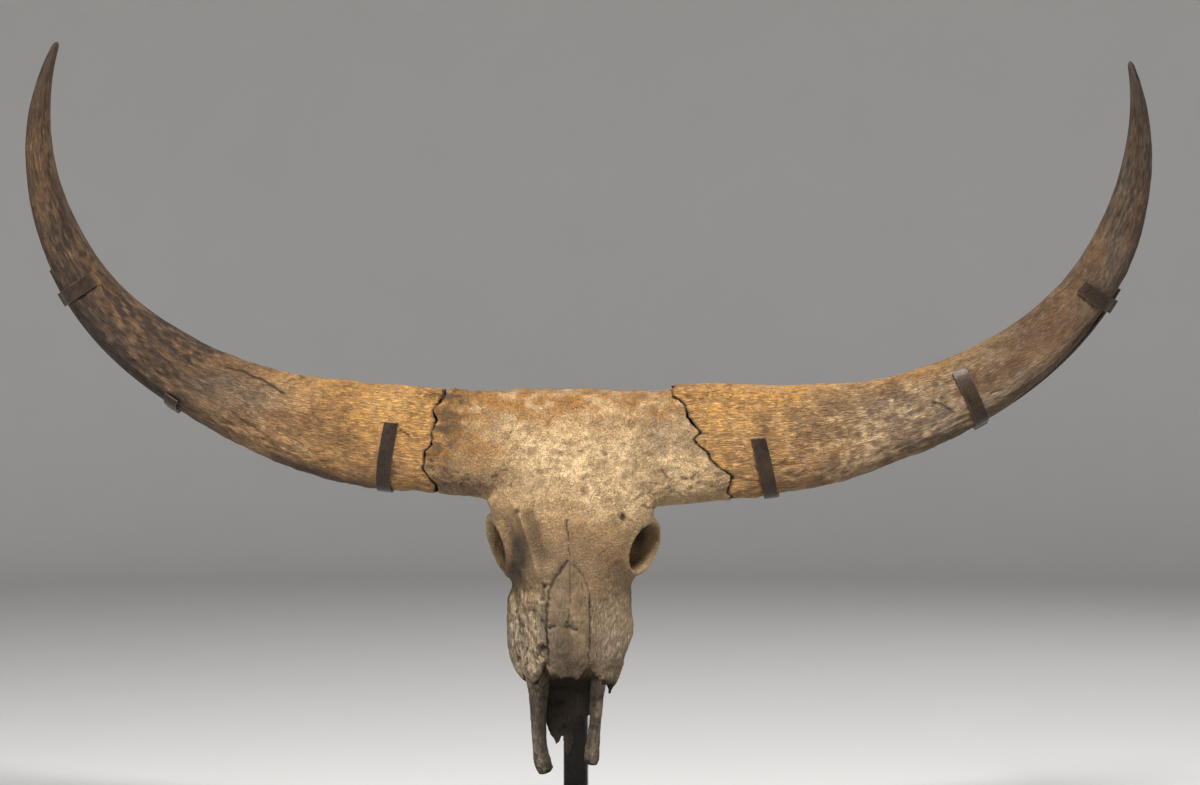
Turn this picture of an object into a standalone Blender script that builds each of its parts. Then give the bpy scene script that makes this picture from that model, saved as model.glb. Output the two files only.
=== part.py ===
"""Fossil skull of a giant-horned wild ox on its steel museum mount.

The skull hangs face forward: +X is the animal's left, -Y is the way the forehead looks, and the
muzzle points down. Bones are drawn in skull coordinates, whose origin is the middle of the poll,
the top edge of the forehead, with depths counted back from there. The mount stands on the floor
at z = 0. All sizes are in metres.
"""

import math
from typing import NamedTuple

import bmesh
import bpy
import numpy as np
from mathutils import Matrix, Vector
from mathutils.bvhtree import BVHTree

# Driving sizes
POLL_HEIGHT = 0.765
POLL_FORWARD = -0.125
FIT_GAP = 0.0003
VOXEL = 0.0036
SKULL_TRIANGLES = 5200

SIDES = {"left": 1, "right": -1}

# Colour, roughness and metallic value of each finish
FINISHES = {
    "cranium": ((0.56, 0.40, 0.22), 0.82, 0.0),
    "nasal": ((0.50, 0.40, 0.29), 0.80, 0.0),
    "maxilla": ((0.45, 0.37, 0.28), 0.85, 0.0),
    "premaxilla": ((0.42, 0.34, 0.26), 0.85, 0.0),
    "horn_core": ((0.36, 0.26, 0.17), 0.85, 0.0),
    "stand": ((0.035, 0.032, 0.030), 0.42, 0.6),
}


class Station(NamedTuple):
    """One level of the skull's body.

    It gives the depth of the forehead and of the floor on the middle line, the half width and depth
    of the three turns between them, how far the level leans to the animal's left, and how much it
    sinks for each metre of depth.
    """

    z: float
    crown: float
    brow: tuple
    cheek: tuple
    base: tuple
    floor: float
    lean: float = 0.0
    slant: float = 0.0


BODY = (
    Station(0.006, 0.036, (0.066, 0.042), (0.082, 0.088), (0.052, 0.132), 0.142, 0.0, 0.34),
    Station(-0.006, 0.010, (0.090, 0.016), (0.106, 0.092), (0.070, 0.154), 0.166, 0.0, 0.30),
    Station(-0.035, -0.004, (0.098, 0.002), (0.106, 0.092), (0.074, 0.158), 0.172, 0.0, 0.12),
    Station(-0.085, -0.012, (0.098, -0.006), (0.094, 0.082), (0.066, 0.146), 0.164),
    Station(-0.135, -0.015, (0.100, -0.008), (0.102, 0.056), (0.058, 0.136), 0.156, 0.002),
    Station(-0.180, -0.016, (0.100, -0.009), (0.128, 0.034), (0.050, 0.122), 0.148, 0.006),
    Station(-0.225, -0.014, (0.092, -0.006), (0.124, 0.040), (0.046, 0.116), 0.142, 0.005),
    Station(-0.270, -0.010, (0.078, -0.001), (0.106, 0.054), (0.052, 0.118), 0.136, 0.002),
    Station(-0.310, -0.006, (0.056, 0.001), (0.097, 0.068), (0.070, 0.128), 0.132, 0.002),
    Station(-0.350, -0.001, (0.042, 0.003), (0.099, 0.080), (0.074, 0.134), 0.128, -0.001),
    Station(-0.400, 0.007, (0.040, 0.011), (0.100, 0.090), (0.068, 0.134), 0.124, -0.003),
    Station(-0.432, 0.014, (0.040, 0.018), (0.096, 0.090), (0.060, 0.128), 0.120, -0.004),
    Station(-0.456, 0.020, (0.039, 0.025), (0.084, 0.087), (0.056, 0.122), 0.115, -0.006),
    Station(-0.482, 0.027, (0.037, 0.035), (0.068, 0.084), (0.050, 0.118), 0.112, -0.002),
)


class Horn(NamedTuple):
    """One horn core: where its middle line leaves the skull, its length, and tables read at even steps."""

    start: tuple
    length: float
    headings: tuple
    sweeps: tuple
    half_widths: tuple


SWEEPS = (5, 11, 11, 5, -2, -8, -12, -15, -16)
HORNS = {
    "left": Horn(
        (0.232, 0.055, -0.087), 1.076, (2, 6, 14.5, 24.5, 36.5, 52.5, 72, 88.5, 109.5), SWEEPS,
        (0.0940, 0.0850, 0.0690, 0.0605, 0.0513, 0.0412, 0.0327, 0.0203, 0.0045),
    ),
    "right": Horn(
        (-0.218, 0.055, -0.083), 1.087, (3, 8, 17.5, 27, 39.5, 58.5, 76, 97, 117.5), SWEEPS,
        (0.0845, 0.0830, 0.0720, 0.0594, 0.0505, 0.0402, 0.0294, 0.0192, 0.0048),
    ),
}
HORN_FLATNESS = (0.74, 0.92)
HORN_CORNERS = 0.055
HORN_INSET = 0.10
AROUND = 22

# Sections of the bar of bone between the horns: the middle's place across, its depth and height, then the
# half height and half depth
BEAM = (
    (0.145, 0.052, -0.0980, 0.0925, 0.064),
    (0.070, 0.047, -0.0900, 0.0880, 0.060),
    (0.000, 0.045, -0.0870, 0.0865, 0.058),
    (-0.070, 0.047, -0.0870, 0.0850, 0.060),
    (-0.140, 0.051, -0.0900, 0.0860, 0.062),
)

# The breaks at the horns' roots, as half width and height, from the top down
CRACKS = {
    "left": (
        (0.164, 0.060), (0.166, -0.004), (0.184, -0.024), (0.194, -0.052), (0.208, -0.070), (0.203, -0.079),
        (0.222, -0.106), (0.240, -0.126), (0.257, -0.138), (0.260, -0.240),
    ),
    "right": (
        (0.196, 0.060), (0.198, -0.004), (0.214, -0.032), (0.213, -0.060), (0.222, -0.086), (0.231, -0.116),
        (0.229, -0.132), (0.214, -0.156), (0.206, -0.240),
    ),
}


class Orbit(NamedTuple):
    """One eye socket: the middle of its rim and the way it looks."""

    centre: tuple
    facing: tuple


ORBITS = {
    "left": Orbit((0.117, 0.040, -0.254), (0.74, -0.58, -0.34)),
    "right": Orbit((-0.112, 0.048, -0.250), (-0.88, -0.38, -0.28)),
}
RIM_RADII = (0.0345, 0.0445)
RIM_THICKNESS = 0.0068
# How the socket narrows: depth behind the rim, and share of the rim's size
SOCKET = ((-0.030, 1.12), (0.0, 0.98), (0.018, 0.96), (0.032, 0.84), (0.044, 0.60), (0.050, 0.30))
SOCKET_WALL = 0.0065

NASAL_APEX = -0.270
NASAL_TIP = -0.462
NASAL_HALF = 0.0345

# The cheek teeth, front to back: length along the jaw and width across it
TEETH = ((0.017, 0.015), (0.019, 0.018), (0.019, 0.021), (0.025, 0.023), (0.028, 0.024), (0.029, 0.023))
TOOTH_FRONT = -0.424
TOOTH_LINE = 0.059
TOOTH_CROWN = 0.164

# The splints of bone at the end of the snout: points down their length, and half widths across and deep
SNOUT = {
    "left": (
        ((0.052, 0.052, -0.440), (0.049, 0.074, -0.470), (0.0435, 0.090, -0.500), (0.0395, 0.100, -0.541),
         (0.034, 0.106, -0.574), (0.0315, 0.109, -0.602), (0.030, 0.110, -0.616)),
        ((0.006, 0.010), (0.009, 0.012), (0.0090, 0.010), (0.0082, 0.008), (0.0100, 0.008), (0.0122, 0.0078),
         (0.0095, 0.0065)),
    ),
    "right": (
        ((-0.064, 0.052, -0.440), (-0.064, 0.074, -0.470), (-0.061, 0.088, -0.495), (-0.058, 0.098, -0.541),
         (-0.055, 0.106, -0.590), (-0.0505, 0.109, -0.614), (-0.0395, 0.111, -0.630)),
        ((0.006, 0.010), (0.010, 0.012), (0.0115, 0.011), (0.011, 0.009), (0.012, 0.0085), (0.0132, 0.008),
         (0.0100, 0.0062)),
    ),
}
# The ragged floor of the nose, as half width and height
PALATE = {
    "left": (
        (-0.008, -0.444), (0.044, -0.444), (0.045, -0.480), (0.038, -0.506), (0.032, -0.530), (0.022, -0.536),
        (0.014, -0.534), (0.006, -0.552), (-0.008, -0.560),
    ),
    "right": (
        (-0.008, -0.444), (-0.008, -0.580), (0.003, -0.597), (0.007, -0.600), (0.0105, -0.590),
        (0.0125, -0.566), (0.0165, -0.564), (0.021, -0.577), (0.026, -0.583), (0.030, -0.575),
        (0.037, -0.558), (0.042, -0.530), (0.046, -0.480), (0.044, -0.444),
    ),
}

# The mount
BASE_SIZE = (0.56, 0.44, 0.012)
POST_SIDE = 0.040
POST_DEPTH = 0.247
POST_TOP = -0.070
ARM_BAR = (0.028, 0.005)
ARM_TURN = 212
ARM_LIFT = 0.0018
ARM_HEIGHT = -0.112
REST_HEIGHT = -0.345
STRAP = (0.024, 0.0035)
STRAP_LIFT = 0.0014


class Clip(NamedTuple):
    """One strap: how far along the horn it sits, the turn where it ends, and its end's lean inward."""

    place: float
    end: float
    lean: float = 0.0


CLIPS = {
    "left": {"inner": Clip(0.0925, 87, 0.0295), "middle": Clip(0.427, 57), "outer": Clip(0.688, 70)},
    "right": {"inner": Clip(0.076, 73, 0.016), "middle": Clip(0.438, 135), "outer": Clip(0.668, 64)},
}
ARM_END = 0.715


def material(name):
    """The Principled material of one finish."""
    made = bpy.data.materials.get(name)
    if made is None:
        colour, roughness, metallic = FINISHES[name]
        made = bpy.data.materials.new(name)
        made.use_nodes = True
        shader = made.node_tree.nodes["Principled BSDF"]
        shader.inputs["Base Color"].default_value = (*colour, 1.0)
        shader.inputs["Roughness"].default_value = roughness
        shader.inputs["Metallic"].default_value = metallic
        made.diffuse_color = (*colour, 1.0)
    return made


def from_bmesh(name, shape, collection):
    """A finished bmesh as an object, with its faces pointing out."""
    bmesh.ops.recalc_face_normals(shape, faces=shape.faces)
    mesh = bpy.data.meshes.new(name)
    shape.to_mesh(mesh)
    shape.free()
    made = bpy.data.objects.new(name, mesh)
    collection.objects.link(made)
    return made


def loft(name, rings, collection, fans=True):
    """A closed skin through rings of equally many points.

    Each end is closed by a fan round its middle, or by one flat face where fans is false.
    """
    shape = bmesh.new()
    rows = [[shape.verts.new(point) for point in ring] for ring in rings]
    count = len(rows[0])
    for row, following in zip(rows, rows[1:]):
        for i in range(count):
            j = (i + 1) % count
            shape.faces.new((row[i], row[j], following[j], following[i]))
    for row, ring in ((rows[0], rings[0]), (rows[-1], rings[-1])):
        if fans:
            middle = shape.verts.new(np.mean(np.asarray(ring, float), axis=0))
            for i in range(count):
                shape.faces.new((row[i], row[(i + 1) % count], middle))
        else:
            shape.faces.new(row)
    return from_bmesh(name, shape, collection)


def spline(rows, samples, closed=False):
    """Points on the smooth Catmull-Rom curve through rows, with that many samples to a span."""
    rows = np.asarray(rows, float)
    if closed:
        padded = np.vstack([rows[-1:], rows, rows[:2]])
    else:
        padded = np.vstack([2 * rows[0] - rows[1], rows, 2 * rows[-1] - rows[-2]])
    out = []
    for a, b, c, d in zip(padded, padded[1:], padded[2:], padded[3:]):
        for t in np.arange(samples) / samples:
            cubic = (3 * b - a - 3 * c + d) * t**3 + (2 * a - 5 * b + 4 * c - d) * t**2 + (c - a) * t + 2 * b
            out.append(0.5 * cubic)
    if not closed:
        out.append(rows[-1])
    return np.array(out)


def unit(vector):
    """A vector, or each row of an array, at length one."""
    vector = np.asarray(vector, float)
    return vector / np.linalg.norm(vector, axis=-1, keepdims=True)


def turns(count):
    """That many even turns round a circle, in radians."""
    return np.linspace(0, 2 * math.pi, count, endpoint=False)


def squared(angle, power):
    """The cosine and sine of an angle, pressed towards the corners of a square by power."""
    c, s = math.cos(angle), math.sin(angle)
    return math.copysign(abs(c) ** power, c), math.copysign(abs(s) ** power, s)


def tube(name, points, radii, collection, samples=3, around=12):
    """A limb of bone along points, with rounded ends; radii are its half widths, across and deep."""
    line = spline(points, samples)
    thick = spline(radii, samples)
    tangents = unit(np.gradient(line, axis=0))
    rings = []
    last = len(line) - 1
    for i, (centre, along, (across, deep)) in enumerate(zip(line, tangents, thick)):
        side = unit(np.array((1, 0, 0)) - along * along[0])
        back = np.cross(along, side)
        steps = [(0.0, 1.0)]
        if i in (0, last):
            steps = [(0.0, 1.0), (0.55, 0.80), (0.85, 0.45)]
        if i == 0:
            steps = [(-ahead, share) for ahead, share in reversed(steps)]
        for ahead, share in steps:
            middle = centre + along * ahead * min(across, deep)
            rings.append(
                [
                    middle + share * (side * across * math.cos(t) + back * deep * math.sin(t))
                    for t in turns(around)
                ]
            )
    return loft(name, rings, collection)


def ellipsoid(name, centre, radii, collection, lean=0):
    """A bony swelling: a sphere with three radii, leaning about Y by lean degrees."""
    shape = bmesh.new()
    bmesh.ops.create_uvsphere(shape, u_segments=20, v_segments=12, radius=1.0)
    place = Matrix.LocRotScale(Vector(centre), Matrix.Rotation(math.radians(lean), 3, "Y"), Vector(radii))
    bmesh.ops.transform(shape, matrix=place, verts=shape.verts)
    return from_bmesh(name, shape, collection)


def block(name, low, high, collection):
    """A box from its low corner to its high corner."""
    shape = bmesh.new()
    bmesh.ops.create_cube(shape, size=1.0)
    low, high = Vector(low), Vector(high)
    place = Matrix.LocRotScale((low + high) / 2, None, high - low)
    bmesh.ops.transform(shape, matrix=place, verts=shape.verts)
    return from_bmesh(name, shape, collection)


def prism(name, front, back, collection):
    """A solid between two outlines with the same number of points."""
    shape = bmesh.new()
    near = [shape.verts.new(point) for point in front]
    far = [shape.verts.new(point) for point in back]
    shape.faces.new(near)
    shape.faces.new(reversed(far))
    for i in range(len(near)):
        j = (i + 1) % len(near)
        shape.faces.new((near[i], far[i], far[j], near[j]))
    return from_bmesh(name, shape, collection)


def slab(name, outline, near, far, collection):
    """An outline in x and z, drawn through the depths from near to far."""
    return prism(name, [(x, near, z) for x, z in outline], [(x, far, z) for x, z in outline], collection)


def bake(target):
    """Replaces an object's mesh with what its modifiers make of it."""
    graph = bpy.context.evaluated_depsgraph_get()
    mesh = bpy.data.meshes.new_from_object(target.evaluated_get(graph))
    target.modifiers.clear()
    target.data = mesh
    return target


def copy_of(target, name, collection):
    """A copy of an object with a mesh of its own."""
    made = bpy.data.objects.new(name, target.data.copy())
    collection.objects.link(made)
    return made


def keep_largest(target):
    """Drops every loose scrap and sealed hollow, so that one closed surface stays."""
    shape = bmesh.new()
    shape.from_mesh(target.data)
    unseen = set(shape.faces)
    best = set()
    while unseen:
        front = [unseen.pop()]
        found = set(front)
        while front:
            for edge in front.pop().edges:
                joined = edge.link_faces if len(edge.link_faces) == 2 else ()
                for face in joined:
                    if face in unseen:
                        unseen.discard(face)
                        found.add(face)
                        front.append(face)
        if len(found) > len(best):
            best = found
    bmesh.ops.delete(shape, geom=[face for face in shape.faces if face not in best], context="FACES")
    shape.to_mesh(target.data)
    shape.free()
    return target


def combine(target, others, operation):
    """One Boolean of target with all the others, which are then removed."""
    tools = bpy.data.collections.new("tools")
    for other in others:
        tools.objects.link(other)
    change = target.modifiers.new(operation.lower(), "BOOLEAN")
    change.operation = operation
    change.operand_type = "COLLECTION"
    change.collection = tools
    change.solver = "EXACT"
    bake(target)
    for other in others:
        bpy.data.objects.remove(other)
    bpy.data.collections.remove(tools)
    return target


def regrow(target):
    """Gives a skin an even grain and closes the steps between the pieces in it."""
    change = target.modifiers.new("grain", "REMESH")
    change.mode = "VOXEL"
    change.voxel_size = VOXEL
    return bake(target)


def soften(target, rounds):
    """Wears a surface smooth."""
    change = target.modifiers.new("soften", "SMOOTH")
    change.factor = 0.5
    change.iterations = rounds
    return bake(target)


def thin_out(target, triangles):
    """Leaves about that many triangles, most of them where the surface bends."""
    target.data.calc_loop_triangles()
    change = target.modifiers.new("thin out", "DECIMATE")
    change.ratio = min(1.0, triangles / len(target.data.loop_triangles))
    return bake(target)


def skull_body(work):
    """The braincase, forehead and face, as one loft down the stations of BODY."""
    rows = [(s.z, s.lean, s.slant, s.crown, *s.brow, *s.cheek, *s.base, s.floor) for s in BODY]
    rings = []
    for z, lean, slant, crown, *sides, floor in spline(rows, 3):
        half = list(zip(sides[0::2], sides[1::2]))
        outline = [(0, crown), *half, (0, floor), *[(-x, y) for x, y in reversed(half)]]
        rings.append([(x + lean, y, z - slant * y) for x, y in spline(outline, 4, closed=True)])
    return loft("body", rings, work)


def read_along(table, share):
    """The values at shares of the way down a table, on the smooth curve through its entries."""
    table = np.asarray(table, float)
    padded = np.concatenate([[2 * table[0] - table[1]], table, [2 * table[-1] - table[-2]]])
    place = np.clip(share, 0, 1) * (len(table) - 1)
    first = np.minimum(np.floor(place), len(table) - 2).astype(int)
    t = place - first
    a, b, c, d = (padded[first + step] for step in range(4))
    return 0.5 * ((3 * b - a - 3 * c + d) * t**3 + (2 * a - 5 * b + 4 * c - d) * t**2 + (c - a) * t + 2 * b)


def horn_frame(side, s):
    """The middle of a horn core at s metres from its root, and its unit directions up, front and along."""
    horn = HORNS[side]
    sign = SIDES[side]
    steps = np.linspace(0, s, 60)
    heading = np.radians(read_along(horn.headings, steps / horn.length))
    sweep = np.radians(read_along(horn.sweeps, steps / horn.length))
    level = np.cos(sweep)
    along = np.stack([sign * np.cos(heading) * level, np.sin(sweep), np.sin(heading) * level], axis=1)
    means = (along[1:] + along[:-1]) / 2
    centre = np.array(horn.start) + (means * np.diff(steps)[:, None]).sum(axis=0)
    up = np.array([-sign * math.sin(heading[-1]), 0, math.cos(heading[-1])])
    front = np.cross(along[-1], up) * sign
    return centre, up, front, along[-1]


def horn_share(side, s):
    """How far down a horn core s metres is, from 0 at its root to 1 at its tip."""
    return min(max(s / HORNS[side].length, 0.0), 1.0)


def horn_radii(side, s):
    """Half the height and half the depth of a horn core at s metres from its root."""
    share = horn_share(side, s)
    high = read_along(HORNS[side].half_widths, share)
    return high, high * np.interp(share, (0, 1), HORN_FLATNESS)


def horn_point(side, s, turn):
    """The point on a horn core at s metres and turn degrees, from the concave edge over the front.

    The section is an oval with three blunt corners, which fade to the tip.
    """
    centre, up, front, _ = horn_frame(side, s)
    high, deep = horn_radii(side, s)
    angle = math.radians(turn)
    swell = 1 + HORN_CORNERS * (1 - horn_share(side, s)) * math.sin(3 * angle)
    return centre + swell * (up * high * math.cos(angle) + front * deep * math.sin(angle))


def horn_ring(side, s):
    """One ring of a horn core's surface."""
    return [horn_point(side, s, math.degrees(turn)) for turn in turns(AROUND)]


def horn_core(side, name, collection):
    """A horn core with a blunt tip, from HORN_INSET inside the root."""
    length = HORNS[side].length
    rings = [horn_ring(side, s) for s in np.linspace(-HORN_INSET, length * 0.985, 30)]
    centre, up, front, along = horn_frame(side, length)
    high, _ = horn_radii(side, length)
    for ahead, share in ((-0.4, 0.95), (0.5, 0.62)):
        middle = centre + along * high * ahead
        ring = [middle + (up * math.cos(t) + front * math.sin(t)) * high * share for t in turns(AROUND)]
        rings.append(ring)
    return loft(name, rings, collection)


def beam(work):
    """The broad bar of the forehead that carries both horns, from one horn's line to the other's."""
    outer = (0.085, 0.05, 0.02, -0.01)
    rings = [horn_ring("left", s) for s in outer]
    for x, depth, z, high, deep in BEAM:
        ring = []
        for turn in turns(AROUND):
            c, s = squared(turn, 0.72)
            ring.append((x, depth - deep * s, z + high * c))
        rings.append(ring)
    rings += [horn_ring("right", s) for s in reversed(outer)]
    return loft("beam", rings, work)


def orbit_frame(side):
    """A matrix that takes a disc in x and z facing -Y to that eye's rim."""
    orbit = ORBITS[side]
    out = Vector(orbit.facing).normalized()
    up = (Vector((0, 0, 1)) - out * out.z).normalized()
    turn = Matrix((up.cross(-out), -out, up)).transposed()
    return Matrix.Translation(Vector(orbit.centre)) @ turn.to_4x4()


def orbit_rim(side, work):
    """The raised bony ring round an eye."""
    shape = bmesh.new()
    rows = []
    for turn in turns(28):
        out = Vector((math.cos(turn), 0, math.sin(turn)))
        middle = Vector((RIM_RADII[0] * out.x, 0, RIM_RADII[1] * out.z))
        back = Vector((0, 1.7, 0))
        row = [middle + (out * math.cos(t) + back * math.sin(t)) * RIM_THICKNESS for t in turns(10)]
        rows.append([shape.verts.new(point) for point in row])
    for row, following in zip(rows, rows[1:] + rows[:1]):
        for i in range(10):
            j = (i + 1) % 10
            shape.faces.new((row[i], row[j], following[j], following[i]))
    bmesh.ops.transform(shape, matrix=orbit_frame(side), verts=shape.verts)
    return from_bmesh("rim", shape, work)


def orbit_bowl(side, rows, wall, work):
    """A bowl in an eye's frame that narrows inwards, larger all round by wall."""
    place = orbit_frame(side)
    wide, high = (radius - 0.002 for radius in RIM_RADII)
    rings = []
    for depth, share in rows:
        across, up = wide * share + wall, high * share + wall
        points = [Vector((across * math.cos(t), depth, up * math.sin(t))) for t in turns(24)]
        rings.append([place @ point for point in points])
    return loft("bowl", rings, work)


def orbit_socket(side, work):
    """The hollow of an eye socket."""
    return orbit_bowl(side, SOCKET, 0.0, work)


def orbit_cup(side, work):
    """The thin bone behind an eye socket, before it is hollowed."""
    rows = [(depth + SOCKET_WALL, share) for depth, share in SOCKET[1:]]
    return orbit_bowl(side, rows, SOCKET_WALL, work)


def mirrored(points, sign):
    """Points given for the animal's left, on the side that sign names."""
    return [(sign * x, y, z) for x, y, z in points]


def cheek_arch(sign, work):
    """The arch of bone from under the eye back to the ear."""
    points = (
        (0.100, 0.082, -0.300), (0.115, 0.094, -0.262), (0.124, 0.104, -0.215),
        (0.125, 0.112, -0.165), (0.116, 0.120, -0.120), (0.096, 0.126, -0.080),
    )
    radii = ((0.010, 0.016), (0.009, 0.018), (0.0075, 0.015), (0.0075, 0.013), (0.009, 0.014), (0.014, 0.018))
    return tube("arch", mirrored(points, sign), radii, work)


def ear_region(sign, work):
    """The swellings behind the jaw joint: the mastoid, the ear's bulla and the process beside the condyle."""
    process = ((0.072, 0.140, -0.056), (0.071, 0.170, -0.064), (0.064, 0.196, -0.074))
    return [
        ellipsoid("mastoid", (sign * 0.090, 0.124, -0.070), (0.024, 0.030, 0.036), work),
        ellipsoid("bulla", (sign * 0.050, 0.158, -0.100), (0.013, 0.020, 0.018), work),
        tube("process", mirrored(process, sign), ((0.016, 0.014), (0.011, 0.010), (0.006, 0.006)), work),
    ]


def nape(work):
    """The back of the braincase: two condyles, the knob over them and the bar under the brain."""
    pieces = [ellipsoid("nape_knob", (0, 0.050, -0.016), (0.024, 0.020, 0.014), work)]
    for sign in SIDES.values():
        place = (sign * 0.031, 0.162, -0.044)
        pieces.append(ellipsoid("condyle", place, (0.018, 0.024, 0.021), work, sign * 18))
    under = ((0, 0.148, -0.060), (0, 0.158, -0.100), (0, 0.154, -0.155), (0, 0.144, -0.215))
    radii = ((0.026, 0.018), (0.022, 0.017), (0.016, 0.015), (0.011, 0.012))
    pieces.append(tube("under", under, radii, work))
    return pieces


def wing(sign, work):
    """One of the two thin plates beside the inner nostrils."""
    points = ((0.022, 0.126, -0.170), (0.027, 0.142, -0.205), (0.031, 0.146, -0.245), (0.036, 0.132, -0.285))
    radii = ((0.005, 0.016), (0.0045, 0.024), (0.0045, 0.024), (0.006, 0.016))
    return tube("wing", mirrored(points, sign), radii, work)


def jaw_ridge(sign, work):
    """The swollen edge of the upper jaw that holds the cheek teeth, and the knob above it."""
    points = ((0.062, 0.122, -0.268), (0.062, 0.130, -0.320), (0.059, 0.130, -0.380), (0.050, 0.122, -0.436))
    radii = ((0.015, 0.018), (0.018, 0.020), (0.016, 0.018), (0.011, 0.010))
    return [
        tube("tooth_ridge", mirrored(points, sign), radii, work),
        ellipsoid("knob", (sign * 0.092, 0.098, -0.388), (0.011, 0.015, 0.030), work),
    ]


def brow_furrow(sign, work):
    """The vessel hole above the eye and the furrow that runs down from it."""
    points = (
        (0.086, -0.012, -0.206), (0.080, -0.0145, -0.235), (0.070, -0.014, -0.275), (0.055, -0.009, -0.315),
    )
    radii = ((0.0045, 0.008), (0.006, 0.0065), (0.0075, 0.006), (0.006, 0.004))
    return tube("furrow", mirrored(points, sign), radii, work, around=10)


def nose_hollow(work):
    """The cavity behind the nasal bones, which widens down to its broken front."""
    rings = []
    for z, half, near, far in (
        (-0.335, 0.022, 0.034, 0.080),
        (-0.370, 0.036, 0.016, 0.100),
        (-0.420, 0.046, 0.020, 0.101),
        (-0.460, 0.050, 0.027, 0.1005),
        (-0.500, 0.054, 0.020, 0.0985),
        (-0.540, 0.058, 0.000, 0.097),
    ):
        middle, deep = (near + far) / 2, (far - near) / 2
        corners = [squared(turn, 0.75) for turn in turns(24)]
        rings.append([(half * c, middle + deep * s, z) for c, s in corners])
    return loft("nose", rings, work)


def nose_opening(work):
    """What is open in front of the cavity: a gap round the broken tips of the nasal bones."""
    outline = (
        (-0.036, -0.438), (-0.031, -0.448), (-0.026, NASAL_TIP), (-0.018, NASAL_TIP + 0.002),
        (-0.007, NASAL_TIP - 0.006), (-0.001, NASAL_TIP), (0.008, NASAL_TIP - 0.001),
        (0.015, NASAL_TIP - 0.009),
        (0.024, NASAL_TIP + 0.006), (0.031, -0.446), (0.036, -0.438), (0.044, -0.470), (0.050, -0.540),
        (-0.056, -0.540), (-0.050, -0.470),
    )
    return slab("opening", outline, -0.12, 0.070, work)


def whole_skull(work):
    """All of the skull but its horns, snout splints and teeth, in one skin with its hollows open."""
    solid = [skull_body(work), beam(work), *nape(work)]
    for side, sign in SIDES.items():
        solid += [orbit_rim(side, work), orbit_cup(side, work), cheek_arch(sign, work), wing(sign, work)]
        solid += ear_region(sign, work) + jaw_ridge(sign, work)
    skull = solid.pop()
    combine(skull, solid, "UNION")
    regrow(skull)
    soften(skull, 9)
    hollows = [nose_hollow(work), nose_opening(work)]
    hollows += [orbit_socket(side, work) for side in SIDES]
    hollows.append(ellipsoid("spinal_hole", (0, 0.146, -0.040), (0.018, 0.017, 0.042), work))
    hollows.append(ellipsoid("inner_nostrils", (0, 0.152, -0.245), (0.020, 0.040, 0.034), work))
    for sign in SIDES.values():
        hollows.append(brow_furrow(sign, work))
        hollows.append(ellipsoid("cheek_hole", (sign * 0.078, 0.058, -0.436), (0.006, 0.012, 0.007), work))
    combine(skull, hollows, "DIFFERENCE")
    regrow(skull)
    soften(skull, 2)
    keep_largest(skull)
    return thin_out(skull, SKULL_TRIANGLES)


def beyond_crack(side, shift, work):
    """All that lies outside the break at a horn's root, set out by shift."""
    sign = SIDES[side]
    edge = [(sign * (x + shift), z) for x, z in CRACKS[side]]
    outline = [(1.3 * sign, 1.2), (1.3 * sign, -0.5), (edge[-1][0], -0.5), *reversed(edge), (edge[0][0], 1.2)]
    return slab("beyond", outline, -0.5, 0.6, work)


def nasal_block(signs, grow, work):
    """The block that holds the nasal bone of each side in signs, larger all round by grow."""
    outer = NASAL_HALF + grow
    half = (
        (0.010, NASAL_APEX - 0.010 + grow * 1.4), (0.022, NASAL_APEX - 0.027 + grow * 1.4),
        (outer - 0.003, -0.318), (outer, -0.352), (outer, -0.400), (outer - 0.001, -0.440),
        (outer - 0.002, -0.520),
    )
    if len(signs) == 2:
        outline = [*half, *[(-x, z) for x, z in reversed(half)], (0.0, NASAL_APEX + grow * 1.6)]
    else:
        middle = FIT_GAP / 2
        outline = [(signs[0] * x, z) for x, z in ((middle, NASAL_APEX + grow * 1.6), *half, (middle, -0.520))]
    back = [(x, 0.014 + 0.130 * (NASAL_APEX - z) + grow, z) for x, z in outline]
    return prism("nasal_block", [(x, -0.10, z) for x, z in outline], back, work)


def jaw_block(sign, grow, work):
    """The block that holds one upper jaw bone, under a sloping uneven seam that is set up by grow."""
    seam = (
        (-0.014, 0.001), (0.004, 0.0), (0.030, -0.004), (0.044, 0.004),
        (0.060, -0.003), (0.076, 0.004), (0.092, -0.002), (0.16, 0.002),
    )
    faces = []
    for y in (-0.12, 0.26):
        top = [(sign * x, y, -0.337 + 0.45 * y + lift + grow) for x, lift in seam]
        faces.append([*top, (top[-1][0], y, -0.62), (top[0][0], y, -0.62)])
    return prism("jaw_block", *faces, work)


def snout_bone(side, name, collection, grow=0.0):
    """One premaxilla: a splint from the side of the nose opening down to its worn end."""
    points, radii = SNOUT[side]
    return tube(name, points, [(across + grow, deep + grow) for across, deep in radii], collection)


def palate_plate(side, work):
    """One half of the ragged floor of the nose, with its broken prongs."""
    sign = SIDES[side]
    return slab("plate", [(sign * x, z) for x, z in PALATE[side]], 0.1035, 0.1105, work)


def cheek_flake(work):
    """The broken lower edge of the animal's left jaw, which ends in a point."""
    points = ((0.083, 0.098, -0.420), (0.076, 0.101, -0.448), (0.067, 0.103, -0.474), (0.062, 0.103, -0.497))
    return tube("flake", points, ((0.008, 0.014), (0.011, 0.013), (0.0105, 0.010), (0.0045, 0.004)), work)


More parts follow.
